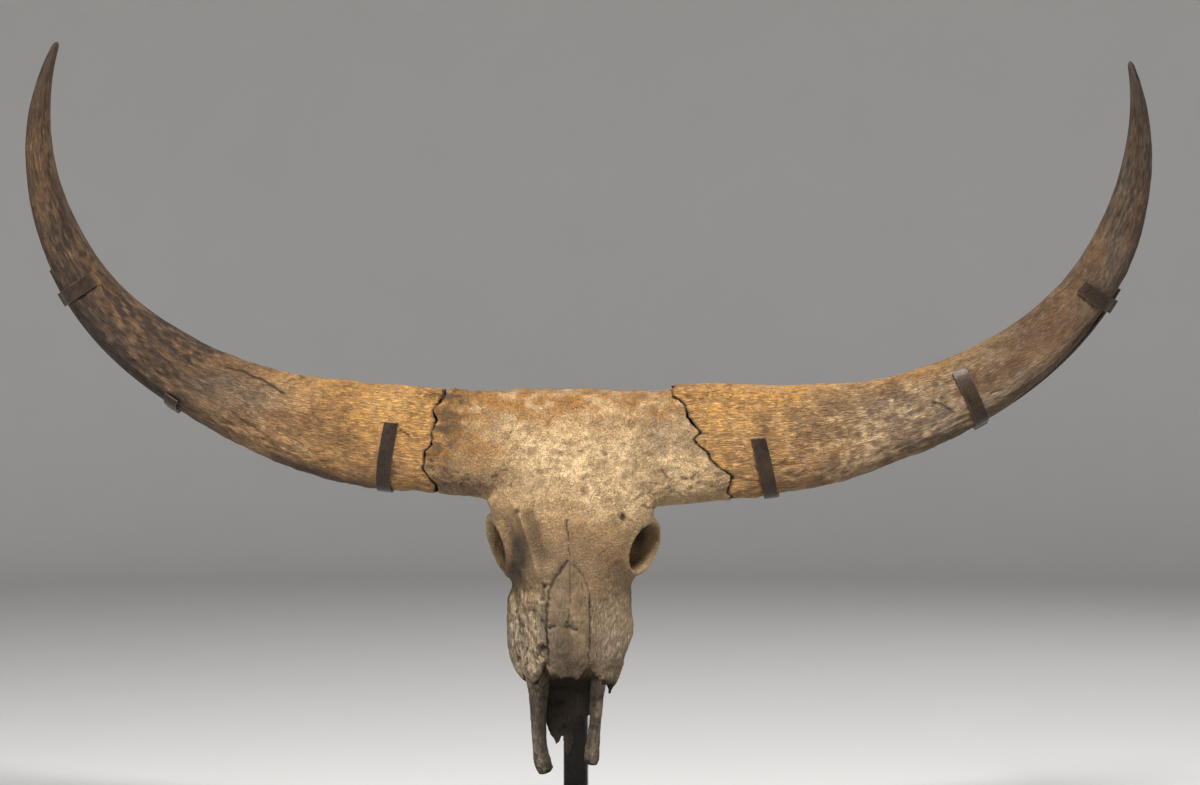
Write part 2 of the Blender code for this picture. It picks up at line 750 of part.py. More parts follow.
def teeth(sign, work):
    """The row of six cheek teeth, each a worn block that narrows to its crown."""
    made = []
    z = TOOTH_FRONT
    for number, (long, wide) in enumerate(TEETH):
        z += long
        bow = TOOTH_LINE - 0.010 * (1 - number / 5) ** 2
        crown = TOOTH_CROWN - 0.0012 * (number % 3)
        rings = []
        for depth, share in ((0.132, 0.92), (0.150, 1.0), (crown - 0.003, 0.96), (crown, 0.84)):
            corners = [squared(turn, 0.5) for turn in turns(10)]
            rings.append(
                [
                    (sign * bow + wide / 2 * share * c, depth, z - long / 2 + long * 0.485 * share * s)
                    for c, s in corners
                ]
            )
        made.append(loft("tooth", rings, work))
    return made


def build_bones(bones, work):
    """The skull, parted into its bones along the seams and breaks that show, and its horn cores."""
    skull = whole_skull(work)
    for side, sign in SIDES.items():
        nasal = copy_of(skull, f"nasal_{side}", bones)
        keep_largest(combine(nasal, [nasal_block((sign,), -FIT_GAP / 2, work)], "INTERSECT"))
    combine(skull, [nasal_block((1, -1), FIT_GAP / 2, work)], "DIFFERENCE")
    for side, sign in SIDES.items():
        jaw = copy_of(skull, f"maxilla_{side}", bones)
        combine(jaw, [jaw_block(sign, 0.0, work)], "INTERSECT")
        extra = [palate_plate(side, work), *teeth(sign, work)]
        if side == "left":
            extra.append(cheek_flake(work))
        combine(jaw, extra, "UNION")
        half = [(sign * x, y, z) for x, y, z in ((-0.2, -0.2, -0.8), (FIT_GAP / 2, 0.4, 0.1))]
        middle = block("middle", np.min(half, axis=0), np.max(half, axis=0), work)
        combine(jaw, [middle, snout_bone(side, "snout", work, FIT_GAP)], "DIFFERENCE")
        keep_largest(jaw)
        snout_bone(side, f"premaxilla_{side}", bones)
    cuts = [jaw_block(sign, FIT_GAP, work) for sign in SIDES.values()]
    cuts += [beyond_crack(side, 0.0, work) for side in SIDES]
    keep_largest(combine(skull, cuts, "DIFFERENCE"))
    copy_of(skull, "cranium", bones)
    bpy.data.objects.remove(skull)
    for side in SIDES:
        horn = horn_core(side, f"horn_core_{side}", bones)
        keep_largest(combine(horn, [beyond_crack(side, FIT_GAP, work)], "INTERSECT"))


def horn_skin(side, s, turn):
    """A point on a horn core's skin, and its unit directions outward, on round the section and lengthwise."""
    here = horn_point(side, s, turn)
    onward = unit(horn_point(side, s, turn + 1) - here)
    lengthwise = unit(horn_point(side, s + 0.004, turn) - horn_point(side, s - 0.004, turn))
    outward = unit(np.cross(onward, lengthwise))
    if outward @ (here - horn_frame(side, s)[0]) < 0:
        outward = -outward
    return here, outward, onward, lengthwise


def strip(name, line, normals, widths, size, collection):
    """A flat strip of steel along a line; normals run through its thickness and widths across it."""
    wide, thick = size
    rings = []
    for point, normal, across in zip(line, unit(normals), unit(widths)):
        corners = ((-1, -1), (1, -1), (1, 1), (-1, 1))
        rings.append([point + across * wide / 2 * a + normal * thick / 2 * b for a, b in corners])
    return loft(name, rings, collection, fans=False)


def arm(side, collection):
    """One arm of the mount: a flat bar under and behind a horn, which runs in to the post."""
    sign = SIDES[side]
    rise = ARM_LIFT + ARM_BAR[1] / 2
    line, normals, widths = [], [], []
    places = [(s, ARM_TURN, rise) for s in np.linspace(ARM_END, 0.02, 17)]
    for s, turn, off in (*places, (-0.018, ARM_TURN + 8, rise + 0.010)):
        point, outward, onward, _ = horn_skin(side, s, turn)
        line.append(point + outward * off)
        normals.append(outward)
        widths.append(onward)
    face = POST_DEPTH - POST_SIDE / 2 - FIT_GAP - ARM_BAR[1] / 2
    back, upright = np.array((0, 1, 0)), np.array((0, 0, 1))
    for x, y, z, share in (
        (0.155, 0.188, -0.126, 0.85), (0.100, 0.216, ARM_HEIGHT, 1.0),
        (0.045, face, ARM_HEIGHT, 1.0), (0.024, face, ARM_HEIGHT, 1.0), (FIT_GAP / 2, face, ARM_HEIGHT, 1.0),
    ):
        line.append((sign * x, y, z))
        normals.append(outward * (1 - share) + back * share)
        widths.append(onward * (1 - share) + upright * share)
    rows = spline(np.hstack([line, normals, widths]), 3)
    return strip(f"stand_arm_{side}", rows[:, :3], rows[:, 3:6], rows[:, 6:], ARM_BAR, collection)


def clip(side, name, collection):
    """One strap of the mount, fixed under the arm and hooked over the horn's front."""
    place, end, lean = CLIPS[side][name]
    high, _ = horn_radii(side, place)
    point, outward, onward, lengthwise = horn_skin(side, place, ARM_TURN)
    under = ARM_LIFT + ARM_BAR[1] + FIT_GAP + STRAP[1] / 2
    line = [point + onward * t + outward * under for t in (0.011, -0.002, -ARM_BAR[0] / 2 - 0.003)]
    widths = [lengthwise] * len(line)
    first = ARM_TURN - math.degrees(0.027 / high)
    for turn in np.linspace(first, end, max(3, round((first - end) / 11))):
        inward = lean * (first - turn) / (first - end)
        point, outward, _, lengthwise = horn_skin(side, place - inward, turn)
        line.append(point + outward * (STRAP_LIFT + STRAP[1] / 2))
        widths.append(lengthwise)
    rows = spline(np.hstack([line, widths]), 2)
    normals = np.cross(np.gradient(rows[:, :3], axis=0), rows[:, 3:])
    return strip(f"stand_clip_{side}_{name}", rows[:, :3], normals, rows[:, 3:], STRAP, collection)


def rest(bones, collection):
    """The rod and pad that reach forward from the post and bear on the palate between the teeth."""
    palate = 0.0
    for side in SIDES:
        tree = BVHTree.FromObject(bones.objects[f"maxilla_{side}"], bpy.context.evaluated_depsgraph_get())
        for x in np.linspace(0.004, 0.022, 4):
            for z in np.linspace(REST_HEIGHT - 0.018, REST_HEIGHT + 0.018, 5):
                hit = tree.ray_cast(Vector((SIDES[side] * x, 0.25, z)), Vector((0, -1, 0)))[0]
                if hit:
                    palate = max(palate, hit.y)
    pad_face = palate + FIT_GAP
    back = POST_DEPTH - POST_SIDE / 2 - FIT_GAP
    profile = (
        (0.018, pad_face), (0.020, pad_face + 0.002), (0.020, pad_face + 0.006), (0.007, pad_face + 0.006),
        (0.007, back),
    )
    rings = [[(r * math.cos(t), y, REST_HEIGHT + r * math.sin(t)) for t in turns(24)] for r, y in profile]
    return loft("stand_rest", rings, collection, fans=False)


def build_mount(bones, skull_space, floor_space, work):
    """The steel mount: base plate, post, two arms, six clips and the rest under the palate."""
    wide, deep, thick = BASE_SIZE
    block("stand_base", (-wide / 2, -deep / 2, 0), (wide / 2, deep / 2, thick), floor_space)
    bevel = floor_space.objects["stand_base"].modifiers.new("edge", "BEVEL")
    bevel.width = 0.0015
    bevel.segments = 1
    bottom = thick + FIT_GAP - POLL_HEIGHT
    near, far = POST_DEPTH - POST_SIDE / 2, POST_DEPTH + POST_SIDE / 2
    block("stand_post", (-POST_SIDE / 2, near, bottom), (POST_SIDE / 2, far, POST_TOP), skull_space)
    for side, straps in CLIPS.items():
        arm(side, skull_space)
        for name in straps:
            clip(side, name, skull_space)
    rest(bones, skull_space)


def main():
    """Builds every bone and every piece of the mount."""
    for old in list(bpy.data.objects):
        bpy.data.objects.remove(old)
    scene = bpy.context.scene
    parts = bpy.data.collections.new("ox_skull")
    work = bpy.data.collections.new("cutters")
    mount = bpy.data.collections.new("mount")
    ground = bpy.data.collections.new("ground")
    scene.collection.children.link(parts)
    scene.collection.children.link(work)
    parts.children.link(mount)
    parts.children.link(ground)
    build_bones(parts, work)
    build_mount(parts, mount, ground, work)
    pose = bpy.data.objects.new("skull_pose", None)
    scene.collection.objects.link(pose)
    pose.location = (0, POLL_FORWARD, POLL_HEIGHT)
    for made in parts.all_objects:
        finish = next(name for name in FINISHES if made.name.startswith(name))
        made.data.materials.clear()
        made.data.materials.append(material(finish))
        if finish != "stand":
            made.data.shade_smooth()
            made.data.set_sharp_from_angle(angle=math.radians(50))
        if made.name != "stand_base":
            made.parent = pose


main()
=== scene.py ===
"""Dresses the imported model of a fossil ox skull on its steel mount, as a museum shows it."""

from __future__ import annotations

import logging
import math
from dataclasses import dataclass, field
from enum import Enum
from typing import Sequence

import bpy
import numpy as np
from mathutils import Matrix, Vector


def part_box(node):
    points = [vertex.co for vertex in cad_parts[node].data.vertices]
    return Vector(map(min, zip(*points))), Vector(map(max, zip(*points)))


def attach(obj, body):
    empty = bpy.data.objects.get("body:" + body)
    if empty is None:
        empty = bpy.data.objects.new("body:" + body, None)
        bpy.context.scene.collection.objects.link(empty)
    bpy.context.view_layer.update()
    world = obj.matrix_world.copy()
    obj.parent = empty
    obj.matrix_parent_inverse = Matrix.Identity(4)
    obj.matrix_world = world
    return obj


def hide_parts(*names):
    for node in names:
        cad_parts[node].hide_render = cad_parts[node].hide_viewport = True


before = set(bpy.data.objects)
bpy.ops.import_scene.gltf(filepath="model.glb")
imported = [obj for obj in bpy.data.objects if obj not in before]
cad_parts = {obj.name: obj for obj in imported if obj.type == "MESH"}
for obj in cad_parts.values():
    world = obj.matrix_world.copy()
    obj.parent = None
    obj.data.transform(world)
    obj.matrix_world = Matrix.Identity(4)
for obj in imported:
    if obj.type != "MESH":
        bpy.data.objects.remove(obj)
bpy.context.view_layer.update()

LOG = logging.getLogger("skull")

Array = np.ndarray
Line = Sequence[Sequence[float]]

# The middle of the poll, where skull measurements start, in the frame of the model
POLL = np.array((0.0, -0.125, 0.765))
BODY = "root"


class Side(Enum):
    """The animal's own sides; the value is the side's sign along X."""

    LEFT = 1
    RIGHT = -1

    @property
    def word(self) -> str:
        """The side's name as the nodes spell it."""
        return self.name.lower()


# Tools of shape

def lattice(cell: Array, seed: int) -> Array:
    """Gives a fixed random value to each whole-numbered point of a lattice.

    Args:
        cell: whole numbers, the last axis holding x, y and z.
        seed: picks one of many such lattices.

    Returns:
        Values from -1 to 1: the three numbers are multiplied by large primes and their bits are mixed.
    """
    mixed = (cell[..., 0] * 73856093) ^ (cell[..., 1] * 19349663) ^ (cell[..., 2] * 83492791) ^ (seed * 7919 + 13)
    mixed = mixed & 0x7FFFFFFF
    mixed = ((mixed ^ (mixed >> 15)) * 0x2C1B3C6D) & 0x7FFFFFFF
    mixed = ((mixed ^ (mixed >> 12)) * 0x297A2D39) & 0x7FFFFFFF
    return ((mixed ^ (mixed >> 15)) & 0xFFFF) / 32767.5 - 1.0


def noise(points: Array, size: float | Sequence[float], seed: int) -> Array:
    """Smooth random lumps.

    Args:
        points: places in metres, the last axis holding x, y and z.
        size: how far apart the lumps are, in metres, the same all ways or along each axis.
        seed: picks the pattern.

    Returns:
        Values from -1 to 1, the lattice's values blended between corners by t^3 (6t^2 - 15t + 10).
    """
    place = points / np.asarray(size, float)
    base = np.floor(place).astype(np.int64)
    part = place - base
    part = part**3 * (part * (part * 6 - 15) + 10)
    total = np.zeros(points.shape[:-1])
    for corner in np.ndindex(2, 2, 2):
        weight = np.prod(np.where(corner, part, 1 - part), axis=-1)
        total += weight * lattice(base + np.array(corner), seed)
    return total


def cloud(points: Array, size: float | Sequence[float], seed: int, layers: int = 4) -> Array:
    """Layered noise: each layer has half the size and half the height of the one before.

    Args:
        points: places in metres.
        size: the size of the largest lumps.
        seed: picks the pattern.
        layers: how many layers are summed.

    Returns:
        Values from about -1 to 1.
    """
    shares = 0.5 ** np.arange(layers)
    total = sum(share * noise(points, np.asarray(size) * share, seed + 31 * k) for k, share in enumerate(shares))
    return total * 1.7 / shares.sum()


def ramp(values: Array, low: float, high: float) -> Array:
    """A soft step from 0 at low to 1 at high, by t^2 (3 - 2t)."""
    t = np.clip((values - low) / (high - low), 0, 1)
    return t * t * (3 - 2 * t)


def line_distance(places: Array, line: Line) -> tuple[Array, Array]:
    """Measures how far flat places are from a bent line.

    Args:
        places: pairs of coordinates.
        line: the line's points, in the same coordinates.

    Returns:
        The distance to the nearest point of the line, and how far along the line that is, from 0 to 1.
    """
    line = np.asarray(line, float)
    lengths = np.linalg.norm(np.diff(line, axis=0), axis=1)
    starts = np.concatenate([[0], np.cumsum(lengths)])
    best = np.full(len(places), np.inf)
    along = np.zeros(len(places))
    for first, last, start, length in zip(line, line[1:], starts, lengths):
        way = (last - first) / length
        share = np.clip((places - first) @ way, 0, length)
        away = np.linalg.norm(places - first - share[:, None] * way, axis=1)
        nearer = away < best
        best = np.where(nearer, away, best)
        along = np.where(nearer, (start + share) / starts[-1], along)
    return best, along


def groove(places: Array, line: Line, width: float, fade: float = 0.12) -> Array:
    """The share of a groove's depth at each place: exp(-(distance / width)^2), fading out at the line's ends."""
    away, along = line_distance(places, line)
    ends = ramp(along, -0.001, fade) * ramp(1 - along, -0.001, fade) if fade else 1.0
    return np.exp(-((away / width) ** 2)) * ends


def patch(places: Array, middle: Sequence[float], radii: Sequence[float]) -> Array:
    """A soft round spot: exp(-r^2), where r is the distance from the middle in radii."""
    away = (places - np.asarray(middle, float)) / np.asarray(radii, float)
    return np.exp(-(away**2).sum(axis=1))


def unit(vectors: Array) -> Array:
    """Vectors scaled to length one."""
    return vectors / np.linalg.norm(vectors, axis=-1, keepdims=True)


def through(rows: Array, samples: int) -> Array:
    """Carries a smooth curve through rows of numbers.

    Args:
        rows: one row for each point that the curve passes.
        samples: how many steps each stretch between two rows gets.

    Returns:
        Rows on the Catmull-Rom curve, with the ends' tangents taken straight on.
    """
    rows = np.asarray(rows, float)
    padded = np.concatenate([[2 * rows[0] - rows[1]], rows, [2 * rows[-1] - rows[-2]]])
    place = np.linspace(0, len(rows) - 1, (len(rows) - 1) * samples + 1)
    first = np.minimum(place.astype(int), len(rows) - 2)
    t = (place - first)[:, None]
    a, b, c, d = (padded[first + step] for step in range(4))
    return 0.5 * ((3 * b - a - 3 * c + d) * t**3 + (2 * a - 5 * b + 4 * c - d) * t**2 + (c - a) * t + 2 * b)


def read_table(table: Sequence[float], share: Array) -> Array:
    """Values at shares of the way down a table, on the Catmull-Rom curve through its entries."""
    values = np.asarray(table, float)
    padded = np.concatenate([[2 * values[0] - values[1]], values, [2 * values[-1] - values[-2]]])
    place = np.clip(share, 0, 1) * (len(values) - 1)
    first = np.minimum(np.floor(place), len(values) - 2).astype(int)
    t = place - first
    a, b, c, d = (padded[first + step] for step in range(4))
    return 0.5 * ((3 * b - a - 3 * c + d) * t**3 + (2 * a - 5 * b + 4 * c - d) * t**2 + (c - a) * t + 2 * b)


def rounded_box(wide: float, thick: float, edge: float, steps: int = 4) -> Array:
    """The outline of a bar's end with rounded corners.

    Args:
        wide: the width across.
        thick: the thickness.
        edge: the radius of the corners.
        steps: how many stretches each corner's arc has.

    Returns:
        Points across and through the bar: each corner is a quarter circle with a point beyond each of its ends,
        which keeps the flats flat in the shading.
    """
    turns = np.linspace(0, math.pi / 2, steps + 1)
    points = []
    for quarter, (a, b) in enumerate(((1, 1), (-1, 1), (-1, -1), (1, -1))):
        arc = turns + quarter * math.pi / 2
        middle = np.array((a * (wide / 2 - edge), b * (thick / 2 - edge)))
        corner = middle + edge * np.stack([np.cos(arc), np.sin(arc)], axis=1)
        before = corner[0] + np.array((-math.sin(arc[0]), math.cos(arc[0]))) * -edge * 0.6
        after = corner[-1] + np.array((-math.sin(arc[-1]), math.cos(arc[-1]))) * edge * 0.6
        points += [before, *corner, after]
    return np.array(points)


# Meshes

@dataclass
class Skin:
    """A surface as arrays, with the masks that its finish reads."""

    points: Array
    faces: Array
    masks: dict[str, Array] = field(default_factory=dict)
    corners: Array | None = None

    def outward(self) -> "Skin":
        """Turns a closed skin's faces outward, by the sign of the volume that they enclose, and returns it."""
        pole = self.faces[:, 3] < 0
        first, second, third = (self.points[self.faces[:, k]] for k in range(3))
        fourth = self.points[np.where(pole, self.faces[:, 2], self.faces[:, 3])]
        volume = np.sum(np.cross(first, second) * third) + np.sum(np.cross(first, third) * fourth)
        if volume < 0:
            self.faces = np.where(pole[:, None], self.faces[:, [1, 0, 2, 3]], self.faces[:, ::-1])
        return self

    def object(self, name: str, finish: "Finish", smooth: bool = True) -> bpy.types.Object:
        """Makes a Blender object of the surface.

        Args:
            name: the object's name.
            finish: what it is made of.
            smooth: whether its faces are shaded as one curved surface.

        Returns:
            The new object, linked and dressed.
        """
        mesh = bpy.data.meshes.new(name)
        mesh.vertices.add(len(self.points))
        mesh.vertices.foreach_set("co", self.points.astype(np.float32).ravel())
        pole = self.faces[:, 3] < 0
        quads, threes = self.faces[~pole], self.faces[pole][:, :3]
        loops = np.concatenate([quads.ravel(), threes.ravel()]).astype(np.int32)
        starts = np.concatenate([np.arange(len(quads)) * 4, len(quads) * 4 + np.arange(len(threes)) * 3])
        mesh.loops.add(len(loops))
        mesh.loops.foreach_set("vertex_index", loops)
        mesh.polygons.add(len(self.faces))
        mesh.polygons.foreach_set("loop_start", starts.astype(np.int32))
        mesh.update(calc_edges=True)
        for word, values in self.masks.items():
            if values.ndim == 1:
                mesh.attributes.new(word, "FLOAT", "POINT").data.foreach_set("value", values.astype(np.float32))
            else:
                layer = mesh.attributes.new(word, "FLOAT_VECTOR", "POINT")
                layer.data.foreach_set("vector", values.astype(np.float32).ravel())
        mesh.shade_smooth() if smooth else mesh.shade_flat()
        if self.corners is not None:
            mesh.normals_split_custom_set_from_vertices(self.corners.tolist())
        mesh.materials.append(finish.material())
        thing = bpy.data.objects.new(name, mesh)
        bpy.context.scene.collection.objects.link(thing)
        return thing


def tube_faces(rows: int, columns: int, near: int = -1, far: int = -1) -> Array:
    """The faces of a grid that closes on itself across its columns.

    Args:
        rows: rings of points.
        columns: points in each ring, which turn to the left as seen from beyond the last ring.
        near: the number of the point that closes the first ring, or -1.
        far: the number of the point that closes the last ring, or -1.

    Returns:
        Rows of four point numbers, or three and -1 where a ring closes on a point.
    """
    first = np.arange(rows * columns).reshape(rows, columns)
    after = np.roll(first, -1, axis=1)
    quads = np.stack([first[:-1], after[:-1], after[1:], first[1:]], axis=-1).reshape(-1, 4)
    parts = [quads]
    if near >= 0:
        parts.append(np.stack([after[0], first[0], np.full(columns, near), np.full(columns, -1)], axis=1))
    if far >= 0:
        parts.append(np.stack([first[-1], after[-1], np.full(columns, far), np.full(columns, -1)], axis=1))
    return np.concatenate(parts)


def neighbours_mean(values: Array, edges: Array) -> Array:
    """The mean of each point's neighbours along the mesh's edges."""
    count = np.bincount(edges.ravel(), minlength=len(values)).astype(float)
    flat = values.reshape(len(values), -1)
    total = np.empty_like(flat)
    for k in range(flat.shape[1]):
        total[:, k] = np.bincount(edges[:, 0], flat[edges[:, 1], k], len(values))
        total[:, k] += np.bincount(edges[:, 1], flat[edges[:, 0], k], len(values))
    return (total / np.maximum(count, 1)[:, None]).reshape(values.shape)


def face_normals(points: Array, faces: Array) -> Array:
    """Unit directions out of four-sided faces, from the cross product of their diagonals."""
    one = points[faces[:, 2]] - points[faces[:, 0]]
    two = points[faces[:, 3]] - points[faces[:, 1]]
    return np.cross(one, two)


def point_normals(points: Array, faces: Array) -> Array:
    """Unit directions out of a surface at its points, as the sum over the faces round each."""
    out = face_normals(points, faces)
    total = np.zeros_like(points)
    for k in range(3):
        for corner in range(4):
            total[:, k] += np.bincount(faces[:, corner], out[:, k], len(points))
    return total / np.maximum(np.linalg.norm(total, axis=1, keepdims=True), 1e-12)


# Finishes

class Nodes:
    """A short way to place and join the nodes of one tree."""

    def __init__(self, tree: bpy.types.NodeTree) -> None:
        """Starts on an empty tree."""
        self.tree = tree
        tree.nodes.clear()

    def add(self, kind: str, links: dict | None = None, **settings: object) -> bpy.types.Node:
        """Places a node.

        Args:
            kind: the node's type, without its ShaderNode prefix.
            links: for an input's name or number, the value to set or the socket to join to it.
            settings: the node's own properties.

        Returns:
            The node.
        """
        node = self.tree.nodes.new("ShaderNode" + kind)
        for name, value in settings.items():
            setattr(node, name, value)
        for name, value in (links or {}).items():
            if isinstance(value, bpy.types.NodeSocket):
                self.tree.links.new(value, node.inputs[name])
            else:
                node.inputs[name].default_value = value
        return node

    def sum(self, kind: str, *values: object) -> bpy.types.NodeSocket:
        """The result of a Math node of that kind on the values."""
        return self.add("Math", dict(enumerate(values)), operation=kind).outputs[0]

    def blend(self, share: object, first: object, second: object, kind: str = "MIX") -> bpy.types.NodeSocket:
        """The first colour with the second laid over it by a share from 0 to 1."""
        links = {0: share, 6: first, 7: second}
        return self.add("Mix", links, data_type="RGBA", blend_type=kind, clamp_factor=True).outputs[2]

    def stretch(self, value: object, low: float, high: float, out_low: float = 0.0, out_high: float = 1.0):
        """A value carried from one range to another, and held at its ends."""
        links = {0: value, 1: low, 2: high, 3: out_low, 4: out_high}
        return self.add("MapRange", links, clamp=True, interpolation_type="SMOOTHSTEP").outputs[0]

    def mask(self, word: str, output: str = "Fac") -> bpy.types.NodeSocket:
        """A mask that the piece's mesh carries."""
        return self.add("Attribute", attribute_name=word, attribute_type="GEOMETRY").outputs[output]


def effect(name: str, inputs: dict[str, tuple[str, object]], outputs: Sequence[str]) -> tuple:
    """Starts a shader node group.

    Args:
        name: the group's name.
        inputs: for each input's name, its kind and its value if nothing is joined to it.
        outputs: the names of its outputs, which are all values.

    Returns:
        The group, the tool that places its nodes, its input node and its output node.
    """
    tree = bpy.data.node_groups.new(name, "ShaderNodeTree")
    nodes = Nodes(tree)
    for word, (kind, value) in inputs.items():
        socket = tree.interface.new_socket(word, in_out="INPUT", socket_type="NodeSocket" + kind)
        if kind != "Vector":
            socket.default_value = value
    for word in outputs:
        tree.interface.new_socket(word, in_out="OUTPUT", socket_type="NodeSocketFloat")
    start = tree.nodes.new("NodeGroupInput")
    end = tree.nodes.new("NodeGroupOutput")
    return tree, nodes, start, end


class Effects:
    """The node groups that the finishes share, each built once."""

    def __init__(self) -> None:
        """Builds them all."""
        self.mottle = self.build_mottle()
        self.grain = self.build_grain()
        self.pits = self.build_pits()
        self.handling = self.build_handling()

    def build_mottle(self) -> bpy.types.NodeTree:
        """Cloudy patches of colour: broad ones, small ones and a fine speckle."""
        inputs = {"Vector": ("Vector", None), "Scale": ("Float", 18.0)}
        tree, nodes, start, end = effect("mottle", inputs, ("Broad", "Small", "Speckle"))
        for word, times, detail, low, high in (
            ("Broad", 1.0, 5.0, 0.34, 0.66), ("Small", 5.5, 6.0, 0.32, 0.68), ("Speckle", 42.0, 3.0, 0.30, 0.70),
        ):
            scale = nodes.sum("MULTIPLY", start.outputs["Scale"], times)
            links = {"Vector": start.outputs["Vector"], "Scale": scale, "Detail": detail, "Roughness": 0.62}
            texture = nodes.add("TexNoise", links)
            tree.links.new(nodes.stretch(texture.outputs[0], low, high), end.inputs[word])
        return tree

    def build_grain(self) -> bpy.types.NodeTree:
        """Fibres that run along the first axis of the vector, and thin splits between them, which the bone's finish
        darkens as painted shade.
        """
        inputs = {"Vector": ("Vector", None), "Scale": ("Float", 160.0), "Length": ("Float", 0.06)}
        tree, nodes, start, end = effect("grain", inputs, ("Fibre", "Split"))
        factors = nodes.add("CombineXYZ", {0: start.outputs["Length"], 1: 1.0, 2: 1.0})
        long = nodes.add("VectorMath", {0: start.outputs["Vector"], 1: factors.outputs[0]}, operation="MULTIPLY")
        links = {"Vector": long.outputs[0], "Scale": start.outputs["Scale"], "Detail": 5.0, "Roughness": 0.6}
        links["Distortion"] = 0.25
        fibre = nodes.add("TexNoise", links)
        tree.links.new(nodes.stretch(fibre.outputs[0], 0.30, 0.70), end.inputs["Fibre"])
        wide = nodes.sum("MULTIPLY", start.outputs["Scale"], 0.34)
        links = {"Vector": long.outputs[0], "Scale": wide, "Detail": 4.0, "Roughness": 0.55, "Distortion": 0.5}
        split = nodes.add("TexNoise", links)
        ridge = nodes.sum("ABSOLUTE", nodes.sum("SUBTRACT", split.outputs[0], 0.5))
        thin = nodes.stretch(ridge, 0.0, 0.011, 1.0, 0.0)
        links = {"Vector": start.outputs["Vector"], "Scale": 26.0, "Detail": 2.0}
        where = nodes.add("TexNoise", links)
        tree.links.new(nodes.sum("MULTIPLY", thin, nodes.stretch(where.outputs[0], 0.48, 0.62)), end.inputs["Split"])
        return tree

    def build_pits(self) -> bpy.types.NodeTree:
        """Small pores, denser in some places than in others."""
        inputs = {"Vector": ("Vector", None), "Scale": ("Float", 260.0)}
        tree, nodes, start, end = effect("pits", inputs, ("Pits",))
        links = {"Vector": start.outputs["Vector"], "Scale": start.outputs["Scale"], "Randomness": 1.0}
        cells = nodes.add("TexVoronoi", links)
        hole = nodes.stretch(cells.outputs["Distance"], 0.10, 0.36, 1.0, 0.0)
        where = nodes.add("TexNoise", {"Vector": start.outputs["Vector"], "Scale": 34.0, "Detail": 3.0})
        tree.links.new(nodes.sum("MULTIPLY", hole, nodes.stretch(where.outputs[0], 0.42, 0.62)), end.inputs["Pits"])
        return tree

    def build_handling(self) -> bpy.types.NodeTree:
        """Smudges, fine scratches and dust on steel."""
        inputs = {"Vector": ("Vector", None), "Scale": ("Float", 30.0)}
        tree, nodes, start, end = effect("handling", inputs, ("Smudge", "Scratch", "Grit"))
        links = {"Vector": start.outputs["Vector"], "Scale": start.outputs["Scale"], "Detail": 6.0, "Roughness": 0.65}
        tree.links.new(nodes.stretch(nodes.add("TexNoise", links).outputs[0], 0.35, 0.68), end.inputs["Smudge"])
        fine = nodes.sum("MULTIPLY", start.outputs["Scale"], 30.0)
        grit = nodes.add("TexNoise", {"Vector": start.outputs["Vector"], "Scale": fine, "Detail": 2.0})
        tree.links.new(nodes.stretch(grit.outputs[0], 0.35, 0.65), end.inputs["Grit"])
        links = {"Vector": start.outputs["Vector"], "Scale": nodes.sum("MULTIPLY", start.outputs["Scale"], 4.0)}
        lines = nodes.add("TexNoise", {**links, "Detail": 2.0, "Distortion": 2.5})
        ridge = nodes.sum("ABSOLUTE", nodes.sum("SUBTRACT", lines.outputs[0], 0.5))
        tree.links.new(nodes.stretch(ridge, 0.0, 0.006, 1.0, 0.0), end.inputs["Scratch"])
        return tree


class Finish:
    """What a piece is made of: its material is made once and kept."""

    kept: dict[str, bpy.types.Material] = {}
    name: str
    slot: str

    def material(self) -> bpy.types.Material:
        """The finish's material, made the first time it is asked for."""
        if self.name not in Finish.kept:
            made = bpy.data.materials.new(self.name)
            made.use_nodes = True
            self.dress(Nodes(made.node_tree))
            Finish.kept[self.name] = made
        return Finish.kept[self.name]

    def dress(self, nodes: Nodes) -> None:
        """Places the finish's nodes; each kind of finish has its own."""
        raise NotImplementedError


Colour = tuple[float, float, float]


def opaque(colour: Colour) -> tuple[float, float, float, float]:
    """The colour with full alpha."""
    return (*colour, 1.0)


